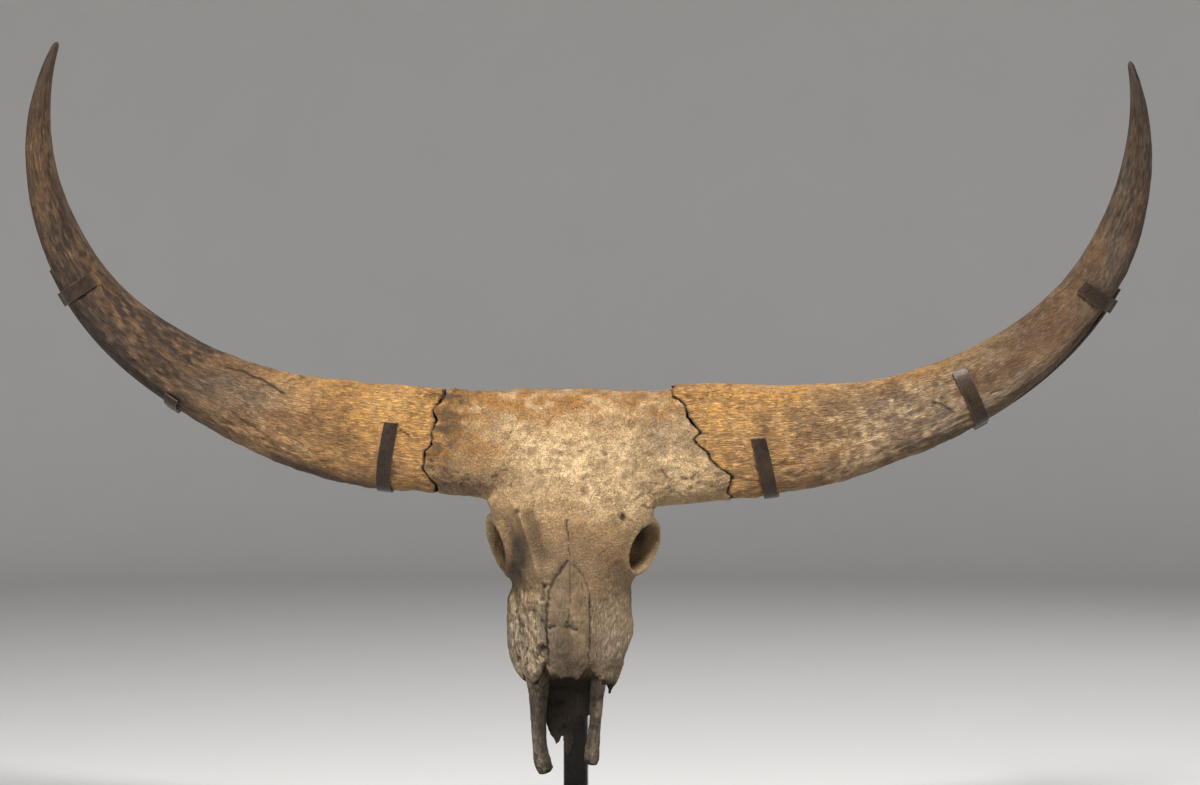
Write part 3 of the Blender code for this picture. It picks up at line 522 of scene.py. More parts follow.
@dataclass(frozen=True)
class Bone(Finish):
    """Matt fossil bone: a base colour with ochre, cream and grey zones, darker zones of real stain and painted shade,
    pale flecks that are partly painted highlights, and fibres, splits and pores with painted shade in them.
    """

    name: str
    slot: str
    light: Colour
    deep: Colour
    ochre: Colour = (0.37, 0.165, 0.034)
    cream: Colour = (0.70, 0.485, 0.255)
    grey: Colour = (0.30, 0.25, 0.17)
    # The tint of real stains and of painted shade.
    dark: Colour = (0.050, 0.033, 0.020)
    patches: float = 16.0
    fibre_scale: float = 300.0
    fibre_length: float = 0.55
    fibre_height: float = 0.7
    fibre_shade: tuple[float, float] = (0.80, 1.18)
    fleck_and_highlight: float = 0.30
    pit_height: float = 0.6
    roughness: tuple[float, float] = (0.50, 0.80)

    def dress(self, nodes: Nodes) -> None:
        """Lays the zones over the mottled base with pale flecks that are partly painted highlights, then darkens fibres
        and paints shade into splits, pores, hollows and the shaded zones.
        """
        place = nodes.add("TexCoord").outputs["Object"]
        grain = nodes.mask("grain", "Vector")
        mottle = nodes.add("Group", node_tree=EFFECTS.mottle)
        fibres = nodes.add("Group", node_tree=EFFECTS.grain)
        pits = nodes.add("Group", node_tree=EFFECTS.pits)
        for group, vector in ((mottle, place), (fibres, grain), (pits, grain)):
            nodes.tree.links.new(vector, group.inputs["Vector"])
        mottle.inputs["Scale"].default_value = self.patches
        fibres.inputs["Scale"].default_value = self.fibre_scale
        fibres.inputs["Length"].default_value = self.fibre_length
        broad, small, speckle = (mottle.outputs[word] for word in ("Broad", "Small", "Speckle"))
        fibre, split = fibres.outputs["Fibre"], fibres.outputs["Split"]
        colour = nodes.blend(broad, opaque(self.light), opaque(self.deep))
        for word, tint, floor in (
            ("grey", self.grey, 0.55), ("cream", self.cream, 0.60), ("ochre", self.ochre, 0.55),
        ):
            uneven = nodes.stretch(small, 0.0, 1.0, floor, 1.15)
            colour = nodes.blend(nodes.sum("MULTIPLY", nodes.mask(word), uneven), colour, opaque(tint))
        # Pale flecks along the fibres: partly the bone's own grain, partly painted highlights.
        flecks_and_highlights = nodes.sum("MULTIPLY", nodes.stretch(fibre, 0.66, 1.0), nodes.stretch(speckle, 0.2, 0.8))
        colour = nodes.blend(nodes.sum("MULTIPLY", flecks_and_highlights, self.fleck_and_highlight), colour, opaque(self.cream))
        shade = nodes.stretch(fibre, 0.0, 1.0, *self.fibre_shade)
        shade = nodes.sum("MULTIPLY", shade, nodes.stretch(small, 0.0, 1.0, 0.84, 1.12))
        shade = nodes.sum("MULTIPLY", shade, nodes.stretch(speckle, 0.0, 1.0, 0.82, 1.16))
        shades = nodes.add("CombineXYZ", {0: shade, 1: shade, 2: shade})
        colour = nodes.blend(1.0, colour, shades.outputs[0], "MULTIPLY")
        # Painted shade: splits, pores, hollows and the shaded zones darken the colour towards the darkest tint; the
        # same zones also carry real stains.
        holes = nodes.sum("MAXIMUM", nodes.sum("MULTIPLY", split, 0.75), nodes.sum("MULTIPLY", pits.outputs[0], 0.55))
        soil_and_shade = nodes.sum("MAXIMUM", nodes.mask("dark"), nodes.mask("cavity"))
        soil_and_shade = nodes.sum("MAXIMUM", soil_and_shade, holes)
        colour = nodes.blend(nodes.sum("MULTIPLY", soil_and_shade, 0.96), colour, opaque(self.dark))
        rough = nodes.stretch(small, 0.0, 1.0, *self.roughness)
        rough = nodes.sum("ADD", rough, nodes.sum("MULTIPLY", soil_and_shade, 0.12))
        height = nodes.sum("MULTIPLY", fibre, self.fibre_height)
        height = nodes.sum("SUBTRACT", height, nodes.sum("MULTIPLY", pits.outputs[0], self.pit_height))
        height = nodes.sum("SUBTRACT", height, nodes.sum("MULTIPLY", split, 0.9))
        height = nodes.sum("ADD", height, nodes.sum("MULTIPLY", speckle, 0.30))
        bump = nodes.add("Bump", {"Height": height, "Strength": 1.0, "Distance": 0.0024})
        links = {"Base Color": colour, "Roughness": rough, "Normal": bump.outputs[0], "Specular IOR Level": 0.30}
        shader = nodes.add("BsdfPrincipled", links)
        nodes.add("OutputMaterial", {"Surface": shader.outputs[0]})


@dataclass(frozen=True)
class Steel(Finish):
    """Blackened satin steel, rubbed brighter along its edges, with smudges and a little dust."""

    name: str
    slot: str
    black: Colour
    brown: Colour
    bare: Colour = (0.17, 0.16, 0.15)
    roughness: tuple[float, float] = (0.24, 0.42)

    def dress(self, nodes: Nodes) -> None:
        """Mixes black and brown by smudges and bares the rubbed edges."""
        place = nodes.add("TexCoord").outputs["Object"]
        marks = nodes.add("Group", {"Vector": place}, node_tree=EFFECTS.handling)
        smudge, scratch, grit = (marks.outputs[word] for word in ("Smudge", "Scratch", "Grit"))
        colour = nodes.blend(smudge, opaque(self.black), opaque(self.brown))
        rubbed = nodes.sum("MULTIPLY", nodes.mask("edge"), nodes.stretch(grit, 0.2, 0.9))
        rubbed = nodes.sum("MAXIMUM", rubbed, nodes.sum("MULTIPLY", scratch, 0.35))
        colour = nodes.blend(nodes.sum("MULTIPLY", rubbed, 0.6), colour, opaque(self.bare))
        rough = nodes.stretch(smudge, 0.0, 1.0, *self.roughness)
        rough = nodes.sum("ADD", rough, nodes.sum("MULTIPLY", grit, 0.06))
        bump = nodes.add("Bump", {"Height": nodes.sum("SUBTRACT", grit, scratch), "Strength": 0.25, "Distance": 0.0003})
        links = {"Base Color": colour, "Roughness": rough, "Metallic": 0.35, "Normal": bump.outputs[0]}
        links["Specular IOR Level"] = 0.17
        shader = nodes.add("BsdfPrincipled", links)
        nodes.add("OutputMaterial", {"Surface": shader.outputs[0]})


@dataclass(frozen=True)
class Plaster(Finish):
    """The pale floor and wall of the room, with the faintest unevenness."""

    name: str = "pale_floor"
    slot: str = ""

    def dress(self, nodes: Nodes) -> None:
        """A pale grey that hardly varies."""
        place = nodes.add("TexCoord").outputs["Object"]
        texture = nodes.add("TexNoise", {"Vector": place, "Scale": 3.0, "Detail": 4.0})
        colour = nodes.blend(texture.outputs[0], (0.50, 0.494, 0.484, 1), (0.525, 0.518, 0.508, 1))
        shader = nodes.add("BsdfPrincipled", {"Base Color": colour, "Roughness": 0.85})
        nodes.add("OutputMaterial", {"Surface": shader.outputs[0]})


EFFECTS = Effects()
CRANIUM = Bone(
    "cranium_fossil", "cranium_bone", (0.46, 0.300, 0.148), (0.34, 0.210, 0.100), fibre_scale=380.0,
    fibre_length=0.80, fibre_shade=(0.80, 1.16), fibre_height=1.1, fleck_and_highlight=0.26,
)
HORN = Bone(
    "horn_core_fossil", "horn_bone", (0.33, 0.176, 0.070), (0.180, 0.086, 0.032), ochre=(0.46, 0.232, 0.062),
    cream=(0.62, 0.430, 0.225), grey=(0.185, 0.150, 0.115), dark=(0.028, 0.016, 0.010), fibre_scale=480.0,
    fibre_length=0.20, fibre_height=1.2, fibre_shade=(0.70, 1.17), fleck_and_highlight=0.30, pit_height=0.9,
    roughness=(0.44, 0.72),
)
# Painted shade in part: the nasal bones' colours are set darker than the cranium's, for light that falls off down the
# face as well as their own tone.
NASAL = Bone(
    "nasal_fossil", "nasal_bone", (0.270, 0.172, 0.084), (0.176, 0.106, 0.049), fibre_length=0.30,
    fibre_shade=(0.86, 1.12), fleck_and_highlight=0.15, pit_height=0.35,
)
MAXILLA = Bone(
    "maxilla_fossil", "maxilla_bone", (0.47, 0.320, 0.165), (0.34, 0.222, 0.110), grey=(0.37, 0.300, 0.205),
    cream=(0.60, 0.465, 0.325), dark=(0.018, 0.012, 0.008), fibre_scale=420.0, fibre_length=0.20,
    fibre_height=1.0, fibre_shade=(0.70, 1.22), fleck_and_highlight=0.40, pit_height=0.9,
)
# Painted shade in part: the premaxillae's colours are set far darker than the other bones', for light that falls off
# towards the snout as well as their own tone.
PREMAXILLA = Bone(
    "premaxilla_fossil", "premaxilla_bone", (0.112, 0.085, 0.057), (0.062, 0.046, 0.030),
    ochre=(0.13, 0.080, 0.036), cream=(0.27, 0.212, 0.145), grey=(0.092, 0.077, 0.058),
    dark=(0.016, 0.011, 0.008), fibre_length=0.25, fibre_height=0.9,
)
DARK_STEEL = Steel("blackened_steel", "dark_steel", (0.008, 0.006, 0.005), (0.014, 0.010, 0.008))
STRAP_STEEL = Steel("strap_blackened_steel", "strap_steel", (0.016, 0.0075, 0.003), (0.032, 0.015, 0.006))


# The photograph

@dataclass(frozen=True)
class Photo:
    """How the photograph sees the skull: almost straight on, from far off, at the height of the poll."""

    turn: float = math.radians(2.5)
    distance: float = 4.5
    pixel: float = 0.0016
    poll: tuple[float, float] = (568.0, 389.0)
    size: tuple[float, float] = (1200.0, 785.0)

    @property
    def right(self) -> Array:
        """The direction to the photograph's right."""
        return np.array((math.cos(self.turn), math.sin(self.turn), 0.0))

    @property
    def into(self) -> Array:
        """The direction into the photograph."""
        return np.array((-math.sin(self.turn), math.cos(self.turn), 0.0))

    def places(self, points: Array) -> Array:
        """Works out where points of the skull stand in the photograph.

        Args:
            points: places in metres from the poll.

        Returns:
            Pixels to the right and down, through the camera's perspective about the middle of the frame.
        """
        centre = np.array(self.size) / 2
        shift = (centre - self.poll) * self.pixel
        depth = 1 + points @ self.into / self.distance
        across = (points @ self.right - shift[0]) / depth
        down = (-points[..., 2] - shift[1]) / depth
        return np.stack([across, down], axis=-1) / self.pixel + centre

    def camera(self) -> bpy.types.Object:
        """Makes the camera: level, at the photograph's angle, with the same frame."""
        data = bpy.data.cameras.new("photo_camera")
        data.sensor_width = 36
        data.lens = self.distance / self.pixel * 36 / self.size[0]
        thing = bpy.data.objects.new("photo_camera", data)
        bpy.context.scene.collection.objects.link(thing)
        offset = (np.array(self.size) / 2 - self.poll) * self.pixel
        place = POLL - self.into * self.distance + self.right * offset[0] - np.array((0, 0, offset[1]))
        thing.location = place
        thing.rotation_euler = (math.pi / 2, 0, self.turn)
        bpy.context.scene.camera = thing
        return thing


PHOTO = Photo()


def dressed(piece: bpy.types.Object, finish: Finish, *nodes: str) -> bpy.types.Object:
    """Sets a finished piece in place of the CAD nodes that it stands for, and reports it."""
    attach(piece, BODY)
    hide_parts(*nodes)
    LOG.info("%s stands for %s with %d faces", piece.name, ", ".join(nodes), len(piece.data.polygons))
    return piece


# The breaks at the horns' roots

# How far out each break lies at heights from the poll, in metres: first the distance out, then the height
CRACKS = {
    Side.LEFT: (
        (0.164, 0.060), (0.166, -0.004), (0.184, -0.024), (0.194, -0.052), (0.208, -0.070),
        (0.203, -0.079), (0.222, -0.106), (0.240, -0.126), (0.257, -0.138), (0.260, -0.240),
    ),
    Side.RIGHT: (
        (0.196, 0.060), (0.198, -0.004), (0.214, -0.032), (0.213, -0.060), (0.222, -0.086),
        (0.231, -0.116), (0.229, -0.132), (0.214, -0.156), (0.206, -0.240),
    ),
}


def beyond_crack(points: Array, side: Side) -> Array:
    """How far points lie outside the break at a side's horn, level with it, in metres."""
    out, height = np.array(CRACKS[side])[::-1].T
    return points[..., 0] * side.value - np.interp(points[..., 2], height, out)


def jag(points: Array) -> Array:
    """How far outward the real break strays from the even one: ragged steps of 5 to 20 mm, in metres."""
    flat = points * (0, 1, 1)
    return 0.0032 * noise(flat, 0.017, 45) + 0.0024 * noise(flat, 0.0085, 46) + 0.0009 * noise(flat, 0.005, 47)


def notch(points: Array, side: Side) -> Array:
    """How much wider the break gapes on each hand where its rim is chipped at the top, in metres."""
    if side is Side.LEFT:
        return np.zeros(points.shape[:-1])
    return 0.0032 * np.exp(-(((points[..., 2] + 0.001) / 0.008) ** 2))


# The horn cores

@dataclass(frozen=True)
class HornCore:
    """One horn core: an oval with three blunt corners carried along a bent path, from its break to its tip."""

    side: Side
    start: tuple[float, float, float]
    length: float
    headings: tuple[float, ...]
    half_widths: tuple[float, ...]
    sweeps: tuple[float, ...] = (5, 11, 11, 5, -2, -8, -12, -15, -16)
    flatness: tuple[float, float] = (0.74, 0.92)
    corners: float = 0.055
    rows: int = 470
    columns: int = 188

    @property
    def name(self) -> str:
        """The CAD node that this core stands for."""
        return f"horn_core_{self.side.word}"

    def frames(self, s: Array) -> tuple[Array, Array, Array]:
        """Works out the horn's path.

        Args:
            s: metres from the root, in any array.

        Returns:
            The middle, and the unit directions up and to the front. The path is the sum of its unit tangents,
            whose rise and backward sweep follow the tables.
        """
        steps = np.linspace(-0.14, self.length + 0.02, 2321)
        heading, sweep = (np.radians(read_table(table, steps / self.length)) for table in (self.headings, self.sweeps))
        sign = self.side.value
        along = np.stack(
            [sign * np.cos(heading) * np.cos(sweep), np.sin(sweep), np.sin(heading) * np.cos(sweep)], axis=1
        )
        walked = np.cumsum((along[1:] + along[:-1]) / 2 * np.diff(steps)[:, None], axis=0)
        walked = np.concatenate([np.zeros((1, 3)), walked])
        root = np.array([np.interp(0.0, steps, walked[:, k]) for k in range(3)])
        middle = np.stack([np.interp(s, steps, walked[:, k] - root[k] + self.start[k]) for k in range(3)], axis=-1)
        tilt, lean = (np.radians(read_table(table, s / self.length)) for table in (self.headings, self.sweeps))
        up = np.stack([-sign * np.sin(tilt), np.zeros_like(tilt), np.cos(tilt)], axis=-1)
        onward = np.stack([sign * np.cos(tilt) * np.cos(lean), np.sin(lean), np.sin(tilt) * np.cos(lean)], axis=-1)
        return middle, up, np.cross(onward, up) * sign

    def points(self, s: Array, turn: Array) -> Array:
        """The core's plain surface.

        Args:
            s: metres from the root.
            turn: degrees round the section, from the concave edge over the front.

        Returns:
            The middle plus up times cos and front times sin of the turn, each by its radius, all swelled by
            a share of sin(3 turn) that fades to the tip.
        """
        s, turn = np.broadcast_arrays(np.asarray(s, float), np.asarray(turn, float))
        middle, up, front = self.frames(s)
        share = np.clip(s / self.length, 0, 1)
        high = read_table(self.half_widths, share)
        deep = high * np.interp(share, (0, 1), self.flatness)
        angle = np.radians(turn)
        swell = (1 + self.corners * (1 - share) * np.sin(3 * angle))[..., None]
        return middle + swell * (up * (high * np.cos(angle))[..., None] + front * (deep * np.sin(angle))[..., None])

    def skin(self, s: Array, turn: Array) -> tuple[Array, Array, Array, Array]:
        """Points on the plain surface, and their unit directions outward, on round the section and lengthwise."""
        here = self.points(s, turn)
        onward = unit(self.points(s, np.asarray(turn) + 1.0) - here)
        lengthwise = unit(self.points(np.asarray(s) + 0.004, turn) - self.points(np.asarray(s) - 0.004, turn))
        outward = unit(np.cross(onward, lengthwise))
        facing = np.sum(outward * (here - self.frames(np.asarray(s, float))[0]), axis=-1, keepdims=True)
        return here, outward * np.sign(facing), onward, lengthwise

    def root(self, turn: Array) -> Array:
        """How far along the surface starts at each turn: the last place inside the uneven break."""
        s = np.linspace(-0.10, 0.22, 641)
        points = self.points(s[:, None], turn[None, :])
        out = beyond_crack(points, self.side)
        inside = out < 0.0014 + jag(points) + notch(points, self.side)
        last = len(s) - 1 - np.argmax(inside[::-1], axis=0)
        return s[last]

    def relief(self, s: Array, turn: Array, places: Array) -> tuple[Array, dict[str, Array]]:
        """Works out how the real surface departs from the plain one.

        Args:
            s: metres from the root.
            turn: degrees round the section.
            places: the points' places in the photograph.

        Returns:
            Metres outward, and the masks of colour. Long furrows follow the horn, deeper on the outer curve
            than on the smooth concave edge, with pores between them and broad low swellings under all.
        """
        angle = np.radians(turn)
        high = read_table(self.half_widths, np.clip(s / self.length, 0, 1))
        ring = np.stack([s, np.cos(angle) * 0.075, np.sin(angle) * 0.062], axis=-1)
        seed = 3 if self.side is Side.LEFT else 11
        share = s / self.length
        smooth_edge = ramp(np.cos(angle + 0.15), 0.35, 0.95)
        rough = 0.30 + 0.70 * (1 - smooth_edge)
        size = np.clip(high / 0.06, 0.35, 1.15)
        swelling = 0.0021 * cloud(ring, (0.11, 0.045, 0.045), seed, 3)
        bent = ring + 0.004 * np.stack([noise(ring, 0.03, seed + k) for k in (8, 9, 10)], axis=-1)
        furrow = 1 - ramp(np.abs(cloud(bent, (0.060, 0.0105, 0.0105), seed + 1, 3)), 0.0, 0.30)
        furrow = furrow * ramp(noise(ring, (0.10, 0.04, 0.04), seed + 5), -0.5, 0.3)
        flake = cloud(bent, (0.020, 0.0062, 0.0062), seed + 2, 3)
        crust = cloud(ring, 0.026, seed + 7, 4) * (1 - ramp(share, 0.10, 0.42))
        pore = ramp(noise(bent, (0.0100, 0.0050, 0.0050), seed + 3), 0.34, 0.74)
        pore = pore * ramp(noise(ring, (0.07, 0.03, 0.03), seed + 4), -0.30, 0.35)
        height = swelling * size + rough * size * (0.0010 * flake - 0.0013 * furrow + 0.0016 * crust)
        height = height - rough * 0.0009 * pore
        cut = self.marks(places, s, turn)
        height = height - cut["deep"]
        fade = ramp(s, self.length - 0.012, self.length)
        blotch = cloud(ring, (0.075, 0.045, 0.045), seed + 6, 5)
        speckle = cloud(ring, (0.014, 0.007, 0.007), seed + 12, 3)
        other = self.side is Side.RIGHT
        warm = 1 - ramp(share, 0.04, 0.30 if other else 0.26)
        tan = ramp(share, 0.02, 0.14) * (1 - ramp(share, 0.26, 0.42 if other else 0.60))
        far = ramp(share, 0.27 if other else 0.20, 0.42 if other else 0.70)
        # Painted shade on the core's underside, fading out towards the tip.
        low = ramp(-np.cos(angle), 0.55, 0.98) * (1 - ramp(share, 0.35, 0.8))
        tip = ramp(share, 0.86, 1.0)
        masks = {
            "ochre": 0.75 * warm * (1 + 0.7 * blotch) + 0.45 * tan * smooth_edge + cut["ochre"],
            "grey": (0.20 if other else 0.80) * far * (0.6 + 0.7 * blotch) + 0.6 * tip + cut["grey"]
            + (0.0 if other else 0.25) * tan,
            "cream": (0.70 if other else 0.85) * warm * ramp(blotch + 0.4 * speckle, -0.1, 0.6)
            + (0.16 if other else 0.55) * tan * ramp(blotch + speckle, -0.3, 0.6) + cut["cream"],
            "dark": 0.22 * ramp(-blotch - 0.3 * speckle, 0.10, 0.60) * (0.3 + 0.7 * ramp(share, 0.05, 0.35))
            + ((0.76 if other else 0.44) * far + (-0.16 if other else 0.16) * ramp(share, 0.62, 0.78))
            * (1 + 0.35 * blotch + 0.55 * speckle)
            + (0.20 if other else 0.06) * ramp(share, 0.05, 0.16) * (1 - far) - 0.04 * tip + low * 0.25 + cut["dark"],
            # Painted shade in the furrows, pores and flaky hollows.
            "cavity": rough * (0.50 * furrow**2 + 0.28 * pore + 0.14 * ramp(-flake, 0.25, 0.8))
            * (1.0 if other else 1 - 0.4 * tan) + cut["cavity"],
        }
        return height * (1 - fade), {word: np.clip(values, 0, 1) for word, values in masks.items()}

    def marks(self, places: Array, s: Array, turn: Array) -> dict[str, Array]:
        """The cracks, stains and patches that the photograph shows on this core's front."""
        shape = s.shape
        flat = places.reshape(-1, 2)
        front = ramp(np.sin(np.radians(turn)), -0.05, 0.25).reshape(-1)
        found = {word: np.zeros(len(flat)) for word in ("deep", "dark", "cavity", "ochre", "grey", "cream")}
        if self.side is Side.RIGHT:
            strayed = flat + 1.6 * np.stack([noise(flat[:, [0, 1, 1]], 9.0, seed) for seed in (51, 52)], axis=1)
            long = groove(strayed, ((222, 364), (240, 370), (252, 374), (266, 380), (278, 389), (290, 396)), 1.5)
            small = groove(flat, ((398, 429), (404, 432), (411, 437)), 1.3)
            found["deep"] += 0.0026 * long + 0.0016 * small
            # Painted shade in the cracks.
            found["cavity"] += long + small
            found["grey"] += 0.60 * patch(flat, (222, 384), (36, 16)) + 0.45 * patch(flat, (262, 402), (26, 12))
            found["ochre"] += 0.45 * patch(flat, (385, 415), (45, 30)) + 0.30 * patch(flat, (330, 408), (40, 18))
            found["dark"] += 0.55 * groove(flat, ((262, 450), (300, 468), (340, 482), (400, 494)), 7.0)
            found["dark"] += 0.25 * groove(flat, ((60, 250), (90, 318), (130, 372), (170, 408)), 9.0)
        else:
            ridge = groove(flat, ((818, 486), (862, 474), (905, 460), (945, 442), (975, 424)), 4.0)
            streak = groove(flat, ((930, 401), (944, 405), (958, 415)), 1.8)
            stain = patch(flat, (765, 430), (9, 14))
            found["deep"] += 0.0011 * streak - 0.0015 * ridge
            # Painted shade in the streak's groove.
            found["cavity"] += 0.8 * streak
            found["dark"] += 0.55 * stain + 0.20 * patch(flat, (1140, 130), (10, 60))
            found["ochre"] += 0.55 * groove(flat, ((690, 396), (730, 391), (770, 393), (810, 397)), 11.0)
            found["ochre"] += 0.30 * groove(flat, ((870, 386), (940, 366), (1000, 326), (1050, 270)), 8.0)
            found["cream"] += 0.30 * groove(flat, ((835, 492), (900, 472), (960, 446)), 5.0)
            found["cream"] += 0.35 * patch(flat, (740, 430), (40, 26))
            found["grey"] += 0.35 * patch(flat, (905, 418), (70, 30))
        return {word: (values * front).reshape(shape) for word, values in found.items()}

    def build(self) -> bpy.types.Object:
        """Makes the core: a fine grid from its break to its tip, closed inside the break by shrinking rings."""
        turn = np.arange(self.columns) * 360 / self.columns + 270.0
        begin = self.root(turn)
        share = np.linspace(0, 1, self.rows)[:, None]
        end = self.length + 0.001
        s = begin[None, :] * (1 - share) + end * share
        turns = np.broadcast_to(turn, s.shape)
        plain, outward, _, _ = self.skin(s, turns)
        height, masks = self.relief(s, turns, PHOTO.places(plain))
        points = plain + outward * height[..., None]
        tip_radius = 0.010
        into = np.clip((s - (end - tip_radius)) / tip_radius, 0, 1)
        close = np.sqrt(np.clip(1 - into**2, 0, 1))[..., None]
        middle = self.frames(np.minimum(s, end))[0]
        points = middle + (points - middle) * close
        near_edge = np.exp(-((s - begin[None, :]) / 0.0032) ** 2)
        points = points - outward * (0.0016 * near_edge)[..., None]
        # Painted shade along the rim of the break.
        masks["cavity"] = np.clip(masks["cavity"] + 0.8 * np.exp(-((s - begin[None, :]) / 0.0026) ** 2), 0, 1)
        grain = np.stack([s, np.cos(np.radians(turns)) * 0.075, np.sin(np.radians(turns)) * 0.062], axis=-1)
        return self.closed(points, masks, grain, turn)

    def closed(self, points: Array, masks: dict[str, Array], grain: Array, turn: Array) -> bpy.types.Object:
        """Adds the broken face inside the root and the pole of the tip, and makes the object."""
        edge = points[0]
        heart = edge.mean(axis=0)
        rings = []
        for share in (0.97, 0.90, 0.72, 0.50, 0.28, 0.10):
            ring = heart + (edge - heart) * share
            ring[:, 0] += self.side.value * (0.0025 + 0.0020 * cloud(ring, 0.03, 21, 3))
            rings.append(ring)
        rings = np.array(rings[::-1])
        count = len(rings)
        grid = np.concatenate([rings, points])
        total = grid.shape[0] * grid.shape[1]
        tip = points[-1].mean(axis=0)
        vertices = np.concatenate([grid.reshape(-1, 3), [rings[0].mean(axis=0), tip]]) + POLL
        faces = tube_faces(grid.shape[0], grid.shape[1], total, total + 1)
        inner = {"ochre": 0.2, "grey": 0.2, "cream": 0.3, "dark": 0.5, "cavity": 0.3}
        packed = {}
        for word, values in masks.items():
            rest = np.full((count, self.columns), inner[word])
            packed[word] = np.concatenate([rest.ravel(), values.ravel(), [inner[word], values[-1].mean()]])
        lead = np.concatenate([rings, grain])
        packed["grain"] = np.concatenate([lead.reshape(-1, 3), [rings[0].mean(axis=0), grain[-1].mean(axis=0)]])
        piece = Skin(vertices, faces, packed).outward().object(f"{self.name}_fossil", HORN)
        return dressed(piece, HORN, self.name)


HORNS = {
    Side.LEFT: HornCore(
        Side.LEFT, (0.232, 0.055, -0.087), 1.076, (2, 6, 14.5, 24.5, 36.5, 52.5, 72, 88.5, 109.5),
        (0.0940, 0.0850, 0.0690, 0.0605, 0.0513, 0.0412, 0.0327, 0.0203, 0.0045),
    ),
    Side.RIGHT: HornCore(
        Side.RIGHT, (-0.218, 0.055, -0.083), 1.087, (3, 8, 17.5, 27, 39.5, 58.5, 76, 97, 117.5),
        (0.0845, 0.0830, 0.0720, 0.0594, 0.0505, 0.0402, 0.0294, 0.0192, 0.0048),
    ),
}


# The skull

class Region(Enum):
    """The bones that the skull's skin is parted into; the value is the CAD node's name."""

    CRANIUM = "cranium"
    NASAL_LEFT = "nasal_left"
    NASAL_RIGHT = "nasal_right"
    MAXILLA_LEFT = "maxilla_left"
    MAXILLA_RIGHT = "maxilla_right"


REGION_FINISH = {
    Region.CRANIUM: CRANIUM,
    Region.NASAL_LEFT: NASAL,
    Region.NASAL_RIGHT: NASAL,
    Region.MAXILLA_LEFT: MAXILLA,
    Region.MAXILLA_RIGHT: MAXILLA,
}


